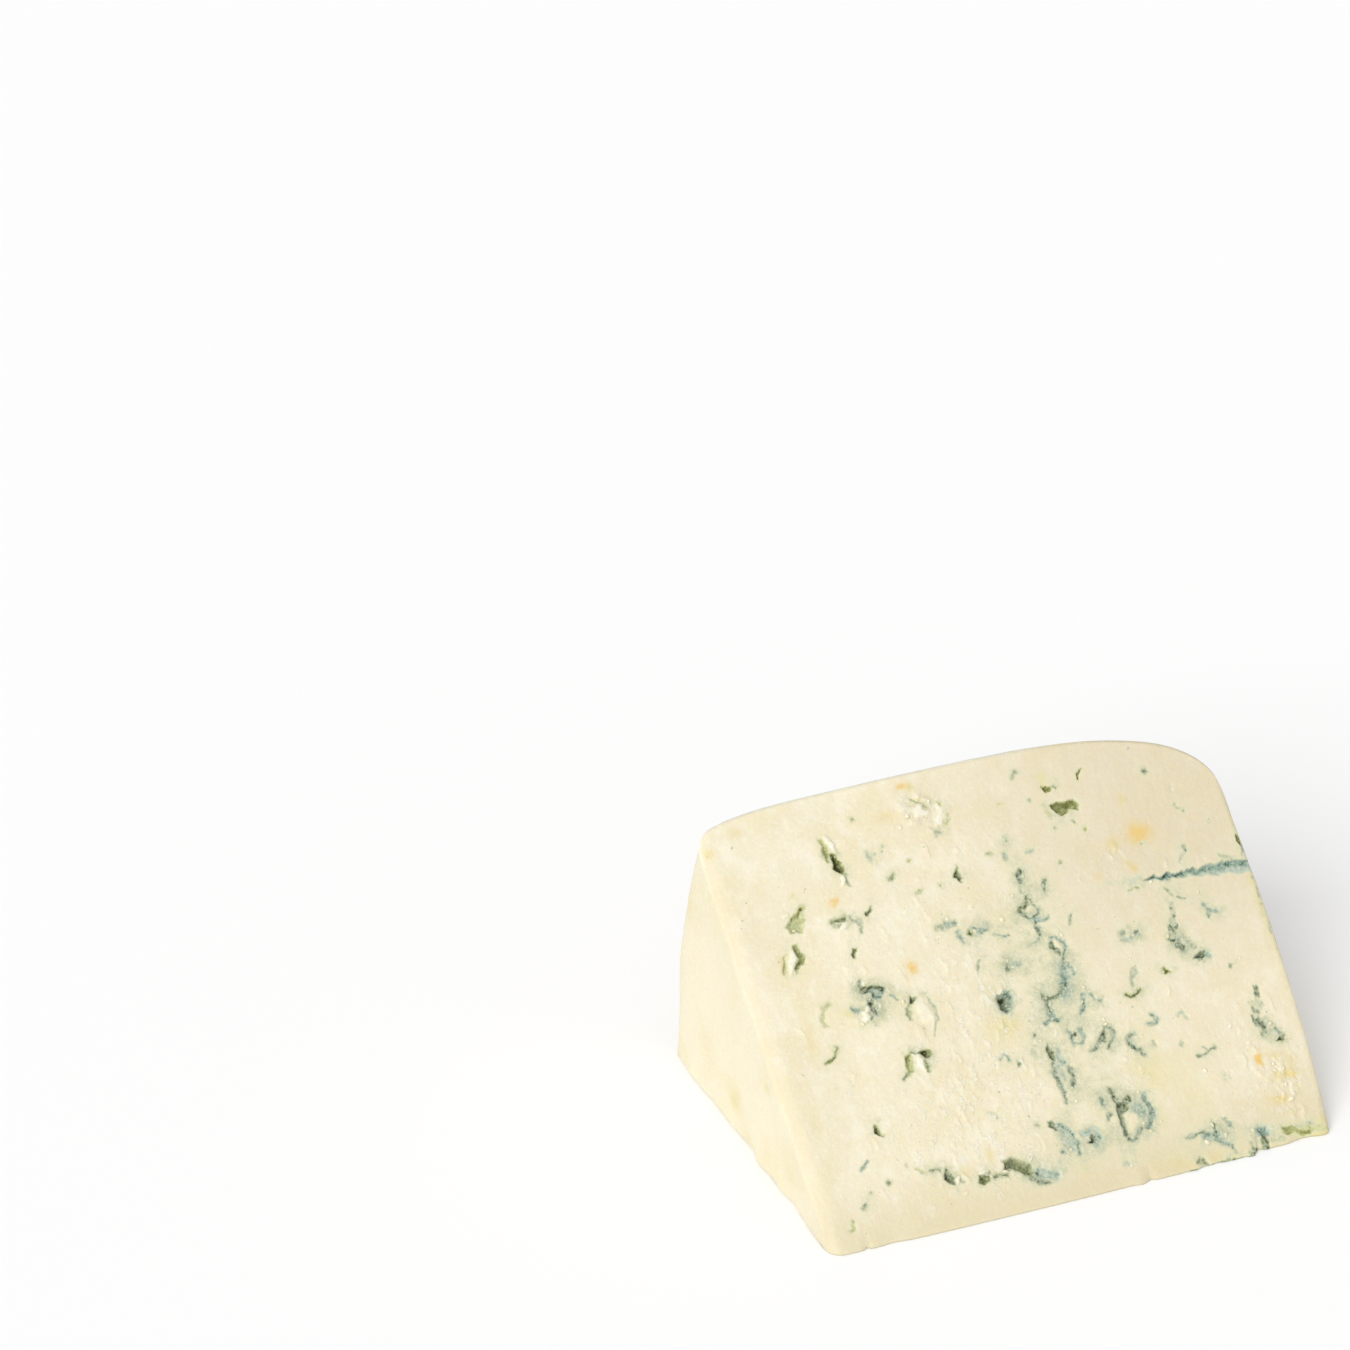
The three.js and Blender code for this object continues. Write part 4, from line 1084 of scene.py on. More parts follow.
# %% Drag ridges and lips
drag = waves(np.stack([place[:, 0] / 1.0, place[:, 1] / 9.0, 0 * grain], 1), 1.0, 41)
drag += 0.6 * waves(np.stack([place[:, 0] / 0.55, place[:, 1] / 5.0, 0 * grain], 1), 1.0, 42)
lift += on_cut * (0.018 * drag + 0.05 * waves(flat, 3.0, 46) + 0.02 * grain)

for start, end, height, fall in TEARS:
    close = near(place, (start, end), 1.6)
    along = (end - start) / np.linalg.norm(end - start)
    side = fall * ((shifted[close] - start) @ np.array([-along[1], along[0]]))
    run = (shifted[close] - start) @ along / np.linalg.norm(end - start)
    lip = soft_step(side, -1.1, 0.0) * (1 - soft_step(side, 0.0, 0.28))
    lip = lip * soft_step(run, -0.05, 0.3) * (1 - soft_step(run, 0.7, 1.05))
    lip = lip * (mould_and_shadow[close] < 0.2) * on_cut[close]
    lift[close] += height * lip
    flake_and_highlight[close] = np.maximum(flake_and_highlight[close], (0.3 + 1.8 * height) * soft_step(lip, 0.4, 0.9))
print("highest point above the cut", round(lift.max(), 2), "mm")

# %% [markdown]
# ## Move every point
#
# Depths are held back near the thin edge, where the wedge is too thin for them. The sides
# of the wheel have no knife marks: they lay against the mould and only roll gently. Last,
# all points move to the solid part's own frame and are kept inside its box.

# %% Move the points
allowed = 0.55 * np.maximum(place[:, 1], 0) * math.tan(WEDGE_ANGLE) * math.cos(WEDGE_ANGLE)
depth = np.minimum(depth, allowed)
reached = np.maximum(depth - np.maximum(below, 0), 0) * (facing > -0.25)
points = points - OUT_OF_CUT * (reached - lift * soft_step(facing, 0.3, 0.8))[:, None]
rolled = 0.07 * waves(points, 3.4, 51) + 0.015 * waves(points, 1.2, 52)
points += normals * (rolled * (1 - soft_step(facing, 0.3, 0.8)) * (points[:, 2] > 0.4))[:, None]
middle = (points.min(axis=0) + points.max(axis=0)) / 2
shift = -np.array([middle[0], middle[1], 0])
placed = np.clip(points + shift, box_low, box_high)
print("moved to the part's own frame by", np.round(shift, 2), "mm")

# %% [markdown]
# ## Make the mesh
#
# The skin becomes one mesh, in metres, that stands for the solid part.

# %% Wedge mesh
mesh = bpy.data.meshes.new("wedge_skin")
mesh.from_pydata((placed / 1000).tolist(), [], triangles.tolist())
mesh.validate()
mesh.shade_smooth()
wedge = bpy.data.objects.new("wedge_skin", mesh)
bpy.context.scene.collection.objects.link(wedge)
print("wedge mesh:", len(mesh.vertices), "points,", len(mesh.polygons), "triangles")

# %% [markdown]
# ## Painted shade and highlight, torn and crumbed parts
#
# The paste is painted darker and browner towards the right and the top right: painted
# shade for the light that falls off across the face. It is darker and browner along the
# thin edge too, and painted shade tones down the highlight on the soft left edge. A painted
# highlight pales the top of the cut face on the left, where it turns into the rim. The left
# face has a few yellow spots, given by their place back and up, their spread and their
# strength. Crumbs lie where the mould or loose curd breaks the paste, and never close to
# the rim of the cut face.

# %% Painted shade and highlight, edge tint, spots, tears and crumbs
LEFT_SPOTS = (
    (45.1, 6.4, 1.8, 1.0),
    (43.0, 8.6, 1.2, 0.6),
    (30.3, 18.3, 1.0, 0.7),
    (66.0, 36.0, 3.0, 0.4),
    (20.0, 6.0, 1.5, 0.4),
)
side_face = soft_step(-normals[:, 0], 0.35, 0.85)
for y, z, spread, strength in LEFT_SPOTS:
    distance = ((points[:, 1] - y) / spread) ** 2 + ((points[:, 2] - z) / spread) ** 2
    yellow += strength * side_face * np.exp(-distance)
# Painted shade: darker and browner towards the right and the top right, where the light falls off; darker
# along the thin edge as well.
painted_shade_and_edge_tint = 0.2 * soft_step(place[:, 0], 15, 75) + 0.55 * (1 - soft_step(place[:, 1], 0, 15))
painted_shade_and_edge_tint += 0.5 * soft_step(place[:, 0], 35, 90) * soft_step(place[:, 1], 28, 62)
torn = 0.15 + crumbly
for x, s, wide, tall, number in TORN_PARTS:
    torn += number / 40 * np.exp(-(((place[:, 0] - x) / wide) ** 2 + ((place[:, 1] - s) / tall) ** 2) / 2)
# Painted shade on the soft left edge, which tones down the highlight where the left face turns into the
# cut.
band = soft_step(-normals[:, 0], 0.12, 0.4) * (1 - soft_step(-normals[:, 0], 0.75, 0.97))
painted_shade_and_edge_tint += 0.4 * band * soft_step(place[:, 1], 2, 8)
# Painted highlight: the top of the cut face on the left turns over into the rim and away from the light,
# and it is made as pale as a clean flake.
painted_ridge_highlight = (1 - soft_step(facing, 0.45, 0.95)) * soft_step(place[:, 1], 72, 80)
painted_ridge_highlight = painted_ridge_highlight * (1 - soft_step(place[:, 0], 60, 90))
flake_and_highlight = np.maximum(flake_and_highlight, painted_ridge_highlight * near_cut)
inside = soft_step(place[:, 0], 2, 5) * soft_step(100 - place[:, 0], 2, 5)
inside = inside * soft_step(place[:, 1], 2, 5) * soft_step(83 - place[:, 1], 2, 5)
crumbs = on_cut * inside * (0.008 + 0.45 * soft_step(haze, 0.05, 0.3) + 0.8 * crumbly)
crumbs = crumbs * soft_step(patches, -0.4, 0.5)
print("crumbs may lie on", int((crumbs > 0.1).sum()), "points")

# %% [markdown]
# ## Store the marks
#
# What was worked out for each point is stored on the mesh as plain attributes, and the
# material reads them by name. Two more tell the upper cut face and the underside.

# %% Attributes
# The mould amount also holds the painted shadow under the channel's upper lip. The flake amount holds the
# painted highlight on the top ridge, and the darker tint holds the painted shade.
marks = {
    "mould_and_shadow": np.clip(mould_and_shadow + haze * (mould_and_shadow < 0.5) * on_cut, 0, 1.05),
    "tone": tone,
    "flake_and_highlight": np.clip(flake_and_highlight, 0, 1),
    "tan": np.clip(tan, 0, 1),
    "yellow": np.clip(yellow, 0, 1),
    "painted_shade_and_edge_tint": painted_shade_and_edge_tint,
    "cut": soft_step(facing, 0.4, 0.85),
    "under": soft_step(-normals[:, 2], 0.6, 0.9),
    "crumbs": crumbs,
    "torn": np.clip(torn * (1 + 0.8 * patches), 0, 1) * on_cut,
}
for name, values in marks.items():
    layer = mesh.attributes.new(name, "FLOAT", "POINT")
    layer.data.foreach_set("value", values.astype(np.float32))
print("attributes on the wedge skin:", ", ".join(marks))

# %% [markdown]
# ## Helpers for node trees
#
# A colour is built from many small nodes: mixes, sums, soft steps, noises and attributes
# read from the mesh. Each helper adds one node, sets it up and gives back its output. A
# number goes straight on the node's socket, and another node's output is linked to it.


# %% Node helpers
def link(tree, source, target):
    tree.links.new(source, target)


def mix_colour(tree, share, first, second, name):
    node = tree.nodes.new("ShaderNodeMix")
    node.data_type = "RGBA"
    node.label = name
    for value, socket in ((share, node.inputs[0]), (first, node.inputs[6]), (second, node.inputs[7])):
        if isinstance(value, bpy.types.NodeSocket):
            link(tree, value, socket)
        else:
            socket.default_value = value
    return node.outputs[2]


def maths(tree, operation, first, second, clamp=False):
    node = tree.nodes.new("ShaderNodeMath")
    node.operation = operation
    node.use_clamp = clamp
    for value, socket in ((first, node.inputs[0]), (second, node.inputs[1])):
        if isinstance(value, bpy.types.NodeSocket):
            link(tree, value, socket)
        else:
            socket.default_value = value
    return node.outputs[0]


def times(tree, first, second):
    return maths(tree, "MULTIPLY", first, second)


print("mixes and sums ready in Blender", bpy.app.version_string)

# %% [markdown]
# A soft step turns a noise into patches, a noise needs its place, and an attribute is read
# from the mesh by its name.


# %% Node helpers: steps, noises and attributes
def steps(tree, value, low, high):
    node = tree.nodes.new("ShaderNodeMapRange")
    node.interpolation_type = "SMOOTHSTEP"
    link(tree, value, node.inputs["Value"])
    node.inputs["From Min"].default_value = low
    node.inputs["From Max"].default_value = high
    return node.outputs["Result"]


def noise(tree, vector, scale, detail=3.0, roughness=0.55):
    node = tree.nodes.new("ShaderNodeTexNoise")
    link(tree, vector, node.inputs["Vector"])
    node.inputs["Scale"].default_value = scale
    node.inputs["Detail"].default_value = detail
    node.inputs["Roughness"].default_value = roughness
    return node.outputs["Fac"]


def attribute(tree, name):
    node = tree.nodes.new("ShaderNodeAttribute")
    node.attribute_name = name
    return node.outputs["Fac"]


print("helpers ready: steps, noise and attribute")

# %% [markdown]
# ## Colour of the paste
#
# Blue cheese paste is warm ivory, never quite even: a little yellower where fat has
# gathered, paler where curds were dry. This group gives that ivory to every material made
# of paste, from two sizes of noise in the piece's own space.

# %% Paste colour group
IVORY = (0.814, 0.748, 0.562, 1)
PALE_IVORY = (0.885, 0.845, 0.715, 1)
BUTTER = (0.790, 0.712, 0.490, 1)
DULL_IVORY = (0.640, 0.590, 0.410, 1)

paste_group = bpy.data.node_groups.new("Paste colour", "ShaderNodeTree")
paste_group.interface.new_socket("Vector", in_out="INPUT", socket_type="NodeSocketVector")
paste_group.interface.new_socket("Colour", in_out="OUTPUT", socket_type="NodeSocketColor")
tree = paste_group
group_in = tree.nodes.new("NodeGroupInput")
group_out = tree.nodes.new("NodeGroupOutput")
broad = noise(tree, group_in.outputs["Vector"], 90.0, 4.0, 0.6)
fine = noise(tree, group_in.outputs["Vector"], 1500.0, 3.0, 0.65)
warm = mix_colour(tree, steps(tree, broad, 0.40, 0.68), IVORY, BUTTER, "warmer patches")
pale = mix_colour(tree, times(tree, steps(tree, fine, 0.53, 0.66), 0.4), warm, PALE_IVORY, "pale curd")
dull = mix_colour(tree, times(tree, steps(tree, fine, 0.42, 0.28), 0.2), pale, DULL_IVORY, "wet curd")
link(tree, dull, group_out.inputs["Colour"])
print("paste colour group:", len(tree.nodes), "nodes")

# %% [markdown]
# ## Colour of the mould
#
# A young growth only clouds the paste. As it thickens it turns through sage to a dark
# green-black. Where it is damp it stays olive, and where air reaches it, as in the
# needle's channel, it turns blue. Three ramps hold those three series, each from the
# youngest growth to the oldest. The tone picks between them: 1 is damp and -1 is airy.

# %% Mould colour group
GROWTH_STEPS = (0.0, 0.14, 0.32, 0.5, 0.68, 0.84, 1.0)
GREY_GREEN = (
    (0.76, 0.72, 0.52),
    (0.68, 0.65, 0.45),
    (0.53, 0.54, 0.37),
    (0.38, 0.42, 0.29),
    (0.23, 0.26, 0.16),
    (0.125, 0.145, 0.07),
    (0.05, 0.06, 0.022),
)
OLIVE = (
    (0.76, 0.72, 0.50),
    (0.70, 0.67, 0.39),
    (0.54, 0.55, 0.27),
    (0.37, 0.39, 0.15),
    (0.22, 0.23, 0.068),
    (0.12, 0.124, 0.027),
    (0.045, 0.05, 0.01),
)
BLUE = (
    (0.76, 0.74, 0.55),
    (0.66, 0.67, 0.50),
    (0.51, 0.58, 0.475),
    (0.36, 0.47, 0.39),
    (0.20, 0.30, 0.242),
    (0.10, 0.163, 0.122),
    (0.04, 0.067, 0.05),
)

mould_group = bpy.data.node_groups.new("Mould colour", "ShaderNodeTree")
mould_group.interface.new_socket("Growth", in_out="INPUT", socket_type="NodeSocketFloat")
mould_group.interface.new_socket("Tone", in_out="INPUT", socket_type="NodeSocketFloat")
mould_group.interface.new_socket("Colour", in_out="OUTPUT", socket_type="NodeSocketColor")
tree = mould_group
group_in = tree.nodes.new("NodeGroupInput")
group_out = tree.nodes.new("NodeGroupOutput")


def growth_ramp(tree, colours):
    node = tree.nodes.new("ShaderNodeValToRGB")
    link(tree, group_in.outputs["Growth"], node.inputs["Fac"])
    ramp = node.color_ramp
    for position, colour in zip(GROWTH_STEPS[1:-1], colours[1:-1]):
        ramp.elements.new(position)
    for element, colour in zip(ramp.elements, colours):
        element.color = (*colour, 1)
    return node.outputs["Color"]


grey, olive, blue = (growth_ramp(tree, colours) for colours in (GREY_GREEN, OLIVE, BLUE))
damp = maths(tree, "MAXIMUM", group_in.outputs["Tone"], 0.0, True)
airy = maths(tree, "MULTIPLY", maths(tree, "MINIMUM", group_in.outputs["Tone"], 0.0), -1.0, True)
toned = mix_colour(tree, damp, grey, olive, "damp")
toned = mix_colour(tree, airy, toned, blue, "airy")
link(tree, toned, group_out.inputs["Colour"])
print("mould colour group:", len(tree.nodes), "nodes")

# %% [markdown]
# ## The wedge's material: paste and stains
#
# The paste comes from its group. On the cut it has faint streaks along the knife's way,
# paler and richer, from noise that is stretched up the face. Over it lie painted shade
# towards the right and on the soft left edge, a darker tint along the thin edge, and then
# the yellow and tan stains.

# %% Paste, streaks and stains
# The first colour below darkens the paste for painted shade towards the right and on the soft left edge,
# and along the thin edge.
SHADED_PASTE = (0.670, 0.580, 0.405, 1)
TAN = (0.800, 0.510, 0.120, 1)
YELLOW = (0.690, 0.600, 0.240, 1)

paste = bpy.data.materials.new("cheese_paste")
paste.use_nodes = True
tree = paste.node_tree
where = tree.nodes.new("ShaderNodeTexCoord").outputs["Object"]
base = tree.nodes.new("ShaderNodeGroup")
base.node_tree = paste_group
link(tree, where, base.inputs["Vector"])

stretch = tree.nodes.new("ShaderNodeMapping")
stretch.inputs["Rotation"].default_value = (-WEDGE_ANGLE, 0, 0)
stretch.inputs["Scale"].default_value = (1.0, 0.22, 1.0)
link(tree, where, stretch.inputs["Vector"])
drawn = noise(tree, stretch.outputs["Vector"], 240.0, 3.0, 0.6)
light_streaks = times(tree, steps(tree, drawn, 0.50, 0.66), times(tree, attribute(tree, "cut"), 0.4))
rich_streaks = times(tree, steps(tree, drawn, 0.48, 0.34), times(tree, attribute(tree, "cut"), 0.35))
colour = mix_colour(tree, light_streaks, base.outputs["Colour"], PALE_IVORY, "pale streaks")
colour = mix_colour(tree, rich_streaks, colour, BUTTER, "rich streaks")
# Painted shade: darker and browner towards the right, the top right and the soft left edge, and along the
# thin edge.
colour = mix_colour(tree, attribute(tree, "painted_shade_and_edge_tint"), colour, SHADED_PASTE, "painted shade and edge tint")
colour = mix_colour(tree, times(tree, attribute(tree, "yellow"), 0.78), colour, YELLOW, "yellow")
colour = mix_colour(tree, times(tree, attribute(tree, "tan"), 0.9), colour, TAN, "tan")
print("paste and stains:", len(tree.nodes), "nodes")

# %% [markdown]
# ## Mould on the paste
#
# Fine noise breaks up the mould, with the painted shadow in the needle's channel, before it
# is coloured, so its edges are crisper than the mesh. Tiny specks lie all over the cut. The
# cut face underneath gets its mould from noise alone. Clean flakes and torn scales come
# last, because they lie on top; the flakes also carry a painted highlight along the top of
# the cut face on the left.

# %% Mould, flakes and scales
CLEAN = (0.850, 0.825, 0.690, 1)
speckle = noise(tree, where, 2300.0, 3.0, 0.6)
clumps = noise(tree, where, 900.0, 4.0, 0.6)
unevenness = maths(tree, "ADD", maths(tree, "SUBTRACT", speckle, 0.5), maths(tree, "SUBTRACT", clumps, 0.5))
patchy = noise(tree, where, 230.0, 5.0, 0.62)
hidden = times(tree, steps(tree, patchy, 0.60, 0.78), attribute(tree, "under"))
dotted = noise(tree, where, 1000.0, 1.0, 0.5)
specks = times(tree, steps(tree, dotted, 0.745, 0.81), attribute(tree, "cut"))
mould_and_shadow_amount = maths(tree, "MAXIMUM", attribute(tree, "mould_and_shadow"), hidden)
mould_and_shadow_amount = times(tree, mould_and_shadow_amount, maths(tree, "ADD", times(tree, unevenness, 1.7), 1.0))
mould_and_shadow_amount = maths(tree, "MAXIMUM", mould_and_shadow_amount, times(tree, specks, 0.36))
mould = tree.nodes.new("ShaderNodeGroup")
mould.node_tree = mould_group
link(tree, mould_and_shadow_amount, mould.inputs["Growth"])
link(tree, attribute(tree, "tone"), mould.inputs["Tone"])
colour = mix_colour(tree, steps(tree, mould_and_shadow_amount, 0.02, 0.2), colour, mould.outputs["Colour"], "mould")
# The flakes include a painted highlight along the top of the cut face on the left.
flakes_and_highlight = steps(tree, maths(tree, "ADD", attribute(tree, "flake_and_highlight"), times(tree, unevenness, 0.6)), 0.3, 0.8)
colour = mix_colour(tree, times(tree, flakes_and_highlight, 0.75), colour, CLEAN, "flakes_and_highlight")
streaks = noise(tree, stretch.outputs["Vector"], 750.0, 4.0, 0.62)
scales = times(tree, steps(tree, streaks, 0.56, 0.60), attribute(tree, "torn"))
colour = mix_colour(tree, times(tree, scales, 0.5), colour, CLEAN, "torn scales")
print("with mould and scales:", len(tree.nodes), "nodes")

# %% [markdown]
# ## Sheen and light inside the paste
#
# Light enters ivory paste, scatters and leaves nearby, so the Principled shader gets some
# subsurface. The cut is moist but not wet: its roughness varies from clump to clump, and a
# fine bump keeps the sheen from being even.

# %% Relief, sheen and subsurface
SCATTER_COLOURS = (1.0, 0.72, 0.38)
shader = tree.nodes["Principled BSDF"]
link(tree, colour, shader.inputs["Base Color"])

relief = maths(tree, "ADD", times(tree, scales, 0.13), times(tree, clumps, 0.3))
bump = tree.nodes.new("ShaderNodeBump")
bump.inputs["Strength"].default_value = 1.0
bump.inputs["Distance"].default_value = 0.0005
link(tree, relief, bump.inputs["Height"])
link(tree, bump.outputs["Normal"], shader.inputs["Normal"])

rough = tree.nodes.new("ShaderNodeMapRange")
link(tree, clumps, rough.inputs["Value"])
rough.inputs["To Min"].default_value = 0.42
rough.inputs["To Max"].default_value = 0.68
link(tree, rough.outputs["Result"], shader.inputs["Roughness"])
shader.inputs["Specular IOR Level"].default_value = 0.35
shader.inputs["Subsurface Weight"].default_value = 0.25
shader.inputs["Subsurface Radius"].default_value = SCATTER_COLOURS
shader.inputs["Subsurface Scale"].default_value = 0.002
mesh.materials.append(paste)
print("paste material:", len(tree.nodes), "nodes")

# %% [markdown]
# ## Crumbs
#
# The knife leaves crumbs of paste on the cut face, most of them round the openings and
# where the curd is loose. Geometry Nodes scatter them over a copy of the skin, as thickly
# as its attribute "crumbs" says. The tree's inputs are the sizes that one would want to
# change, in metres.


# %% Scatter tree: inputs and places
CRUMB_INPUTS = (
    ("Crumbs per square metre", "NodeSocketFloat", 5.2e5),
    ("Least size", "NodeSocketFloat", 0.00016),
    ("Spread of size", "NodeSocketFloat", 0.00042),
    ("Dents", "NodeSocketFloat", 0.00036),
    ("Seed", "NodeSocketInt", 7),
)


def add(tree, kind, **settings):
    node = tree.nodes.new(kind)
    for name, value in settings.items():
        setattr(node, name, value)
    return node


scatter = bpy.data.node_groups.new("Crumbs on a cut face", "GeometryNodeTree")
scatter.interface.new_socket("Skin", in_out="INPUT", socket_type="NodeSocketGeometry")
for name, kind, value in CRUMB_INPUTS:
    socket = scatter.interface.new_socket(name, in_out="INPUT", socket_type=kind)
    socket.default_value = value
scatter.interface.new_socket("Crumbs", in_out="OUTPUT", socket_type="NodeSocketGeometry")
given = add(scatter, "NodeGroupInput")
result = add(scatter, "NodeGroupOutput")

thick = add(scatter, "GeometryNodeInputNamedAttribute", data_type="FLOAT")
thick.inputs["Name"].default_value = "crumbs"
density = times(scatter, thick.outputs["Attribute"], given.outputs["Crumbs per square metre"])
spots = add(scatter, "GeometryNodeDistributePointsOnFaces", distribute_method="RANDOM")
link(scatter, given.outputs["Skin"], spots.inputs["Mesh"])
link(scatter, density, spots.inputs["Density"])
link(scatter, given.outputs["Seed"], spots.inputs["Seed"])
print("scatter tree:", len(CRUMB_INPUTS), "named inputs")

# %% [markdown]
# A crumb is a small squashed ball, half sunk and turned any way. Most are near the least
# size and a few are much larger, so the random number is cubed before it sets the size.

# %% Scatter tree: one ball for each place
FULL_TURN = 6.28
chance = add(scatter, "FunctionNodeRandomValue", data_type="FLOAT")
link(scatter, given.outputs["Seed"], chance.inputs["Seed"])
small = maths(scatter, "POWER", chance.outputs[1], 3.0)
larger = times(scatter, small, given.outputs["Spread of size"])
radius = maths(scatter, "ADD", larger, given.outputs["Least size"])
squash = add(scatter, "ShaderNodeVectorMath", operation="SCALE")
squash.inputs[0].default_value = (1.3, 0.9, 0.65)
link(scatter, radius, squash.inputs["Scale"])
turn = add(scatter, "FunctionNodeRandomValue", data_type="FLOAT_VECTOR")
turn.inputs[1].default_value = (FULL_TURN, FULL_TURN, FULL_TURN)

ball = add(scatter, "GeometryNodeMeshIcoSphere")
ball.inputs["Radius"].default_value = 1.0
ball.inputs["Subdivisions"].default_value = 2
placed_balls = add(scatter, "GeometryNodeInstanceOnPoints")
link(scatter, spots.outputs["Points"], placed_balls.inputs["Points"])
link(scatter, ball.outputs["Mesh"], placed_balls.inputs["Instance"])
link(scatter, turn.outputs[0], placed_balls.inputs["Rotation"])
link(scatter, squash.outputs["Vector"], placed_balls.inputs["Scale"])
real = add(scatter, "GeometryNodeRealizeInstances")
link(scatter, placed_balls.outputs["Instances"], real.inputs["Geometry"])
print("balls of 80 triangles, made real by", real.bl_label)

# %% [markdown]
# The balls were made real first, so that noise in space can dent each one differently.
# The tree ends by giving them their material.

# %% Scatter tree: dents and material
crumb_paint = bpy.data.materials.new("crumb_paste")
crumb_paint.use_nodes = True
bumps = add(scatter, "ShaderNodeTexNoise")
bumps.inputs["Scale"].default_value = 2600.0
centred = add(scatter, "ShaderNodeVectorMath", operation="SUBTRACT")
centred.inputs[1].default_value = (0.5, 0.5, 0.5)
link(scatter, bumps.outputs["Color"], centred.inputs[0])
push = add(scatter, "ShaderNodeVectorMath", operation="SCALE")
link(scatter, centred.outputs["Vector"], push.inputs[0])
link(scatter, given.outputs["Dents"], push.inputs["Scale"])
dented = add(scatter, "GeometryNodeSetPosition")
link(scatter, real.outputs["Geometry"], dented.inputs["Geometry"])
link(scatter, push.outputs["Vector"], dented.inputs["Offset"])
painted = add(scatter, "GeometryNodeSetMaterial")
painted.inputs["Material"].default_value = crumb_paint
link(scatter, dented.outputs["Geometry"], painted.inputs["Geometry"])
link(scatter, painted.outputs["Geometry"], result.inputs["Crumbs"])
print("scatter tree:", len(scatter.nodes), "nodes")

# %% [markdown]
# The tree is run once on a copy of the skin, with a seed of its own, and its result is
# kept as a plain mesh.

# %% Make the crumbs
CRUMB_SEED = 11
CRUMB_FACES = 80
host = bpy.data.objects.new("crumb_host", mesh.copy())
bpy.context.scene.collection.objects.link(host)
modifier = host.modifiers.new("crumbs", "NODES")
modifier.node_group = scatter
for item in scatter.interface.items_tree:
    if item.item_type == "SOCKET" and item.in_out == "INPUT" and item.name == "Seed":
        modifier[item.identifier] = CRUMB_SEED
bpy.context.view_layer.update()
evaluated = host.evaluated_get(bpy.context.evaluated_depsgraph_get())
crumb_mesh = bpy.data.meshes.new_from_object(evaluated)
bpy.data.objects.remove(host)
crumb_piece = bpy.data.objects.new("paste_crumbs", crumb_mesh)
bpy.context.scene.collection.objects.link(crumb_piece)
print("crumbs:", len(crumb_mesh.polygons) // CRUMB_FACES, "in", len(crumb_mesh.polygons), "triangles")

# %% [markdown]
# Crumbs are made of the same paste and a little drier, so they are paler. Those that lie on
# mould are tinted by it, as the skin's growth came along with each place.

# %% Crumb material
tree = crumb_paint.node_tree
shader = tree.nodes["Principled BSDF"]
base = tree.nodes.new("ShaderNodeGroup")
base.node_tree = paste_group
link(tree, tree.nodes.new("ShaderNodeTexCoord").outputs["Object"], base.inputs["Vector"])
mould = tree.nodes.new("ShaderNodeGroup")
mould.node_tree = mould_group
tinge = times(tree, attribute(tree, "mould_and_shadow"), 0.6)
link(tree, tinge, mould.inputs["Growth"])
link(tree, attribute(tree, "tone"), mould.inputs["Tone"])
colour = mix_colour(tree, 0.2, base.outputs["Colour"], CLEAN, "pale crumb")
colour = mix_colour(tree, steps(tree, tinge, 0.02, 0.3), colour, mould.outputs["Colour"], "mould")
link(tree, colour, shader.inputs["Base Color"])
shader.inputs["Roughness"].default_value = 0.55
shader.inputs["Specular IOR Level"].default_value = 0.35
shader.inputs["Subsurface Weight"].default_value = 0.2
shader.inputs["Subsurface Radius"].default_value = SCATTER_COLOURS
shader.inputs["Subsurface Scale"].default_value = 0.0006
print("crumb material:", len(tree.nodes), "nodes")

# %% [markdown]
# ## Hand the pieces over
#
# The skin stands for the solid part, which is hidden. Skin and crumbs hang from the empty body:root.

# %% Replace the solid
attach(wedge, "root")
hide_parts("cheese_wedge")
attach(crumb_piece, "root")
print("wedge_skin replaces cheese_wedge, with paste_crumbs on it")

# %% [markdown]
# ## The table
#
# A plain pale sheet runs under the wedge and far beyond the picture, so that no edge or
# corner of a table shows.

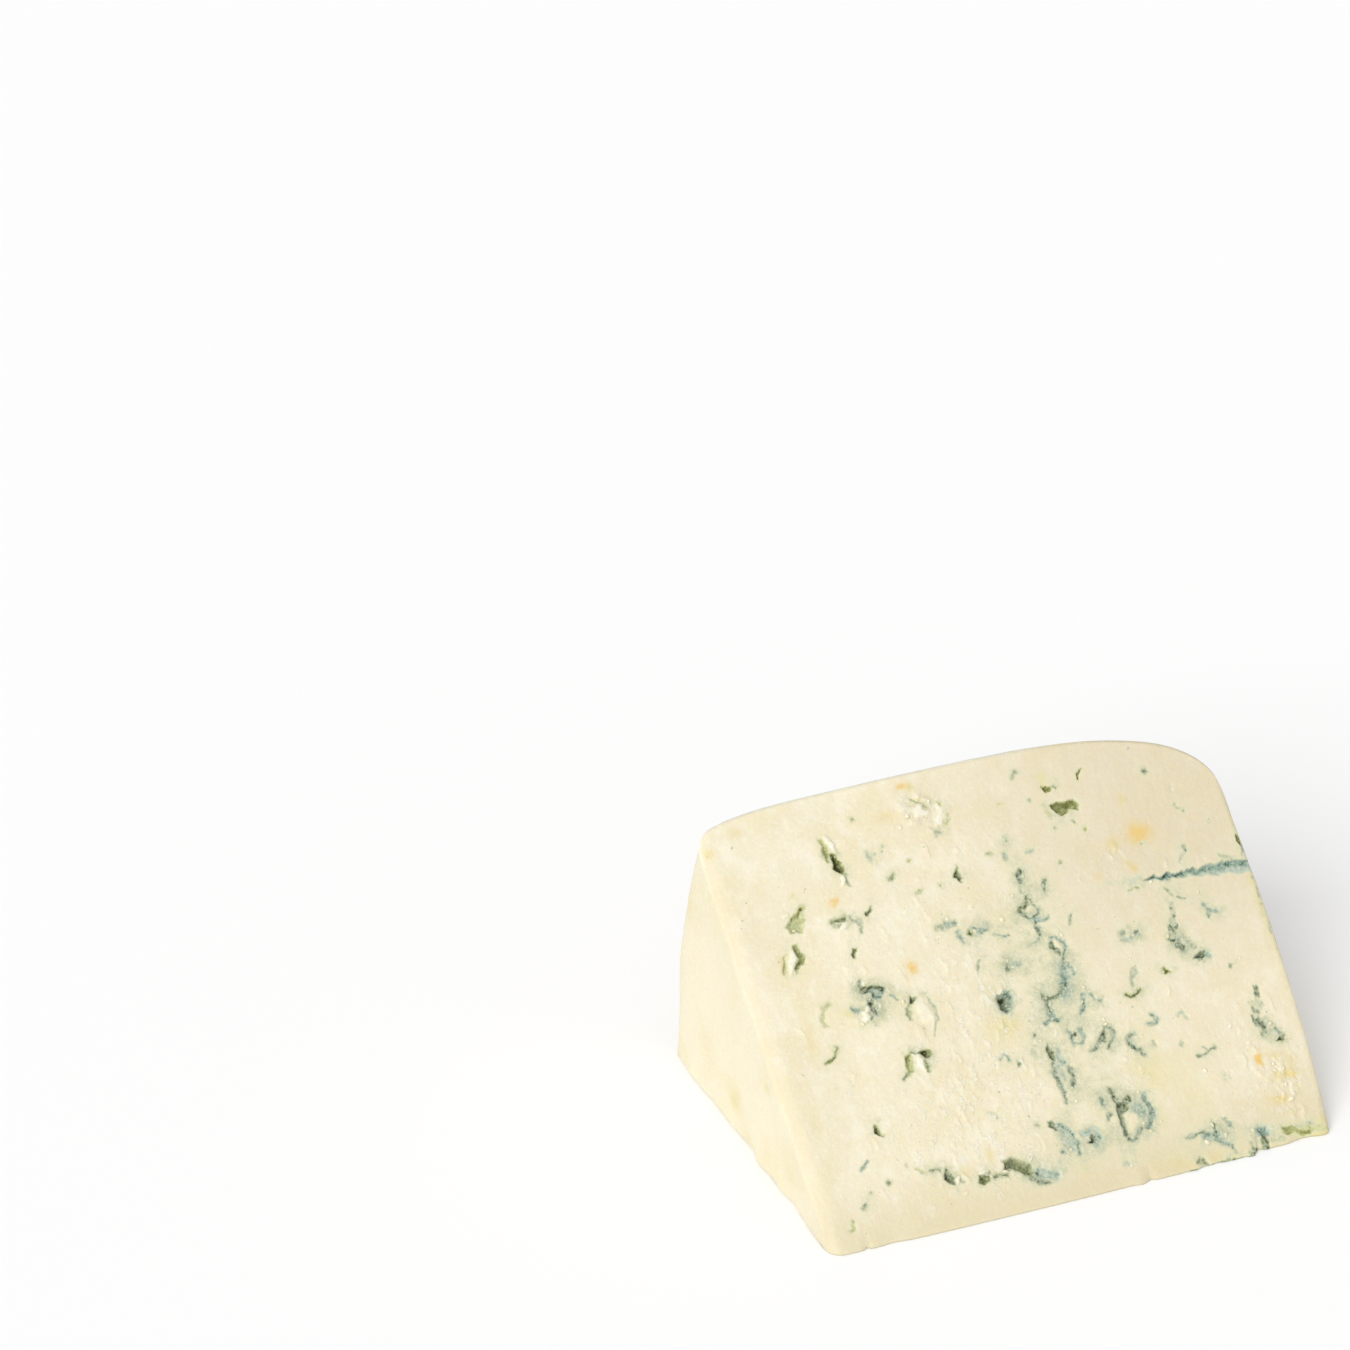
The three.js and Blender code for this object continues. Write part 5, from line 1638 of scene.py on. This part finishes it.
# %% Floor
bpy.ops.mesh.primitive_plane_add(size=6.0, location=(0, 0, 0))
floor = bpy.context.object
floor.name = "floor"
floor_paint = bpy.data.materials.new("floor_paint")
floor_paint.use_nodes = True
shader = floor_paint.node_tree.nodes["Principled BSDF"]
shader.inputs["Base Color"].default_value = (0.96, 0.96, 0.96, 1)
shader.inputs["Roughness"].default_value = 0.9
floor.data.materials.append(floor_paint)
print("floor 6 m wide")

# %% [markdown]
# ## Light
#
# The light is a large soft window high on the left, so the smooth left face and the cut
# face are almost equally bright and the right side falls off. White surroundings fill
# the shadows. Colours are shown plainly, without a film look.

# %% Lamps and surroundings
scene = bpy.context.scene
window = bpy.data.lights.new("window", "SUN")
window.energy = 1.8
window.angle = math.radians(40)
lamp = bpy.data.objects.new("window", window)
scene.collection.objects.link(lamp)
aim = np.array([-0.62, -0.47, 0.60])
lamp.rotation_euler = (math.acos(aim[2] / np.linalg.norm(aim)), 0, math.atan2(aim[1], aim[0]) + math.pi / 2)
world = bpy.data.worlds.new("surroundings")
world.use_nodes = True
background = world.node_tree.nodes["Background"]
background.inputs["Color"].default_value = (1, 1, 1, 1)
background.inputs["Strength"].default_value = 0.68
scene.world = world
scene.view_settings.view_transform = "Standard"
scene.view_settings.look = "None"
scene.view_settings.exposure = 0.0

# %% [markdown]
# ## Camera
#
# A long lens looks down by about thirty degrees from the front left, so that the cut face
# is seen almost square on. The lens is given by how many pixels away the picture plane of
# 1350 pixels would be. The wedge sits low on the right of the picture.

# %% Camera
PICTURE_PIXELS = 1350
EYE = np.array([-546.9, -1202.95, 928.29])
YAW = math.radians(23.21)
PITCH = math.radians(31.37)
LENS_PIXELS = 9000.0
lens = bpy.data.cameras.new("camera")
lens.sensor_width = 36.0
lens.lens = LENS_PIXELS / PICTURE_PIXELS * 36
lens.clip_end = 50
camera = bpy.data.objects.new("camera", lens)
scene.collection.objects.link(camera)
camera.location = (EYE + shift) / 1000
camera.rotation_euler = (math.pi / 2 - PITCH, 0, -YAW)
scene.camera = camera
print("lens", round(lens.lens), "mm, eye at", np.round(np.array(camera.location), 3))
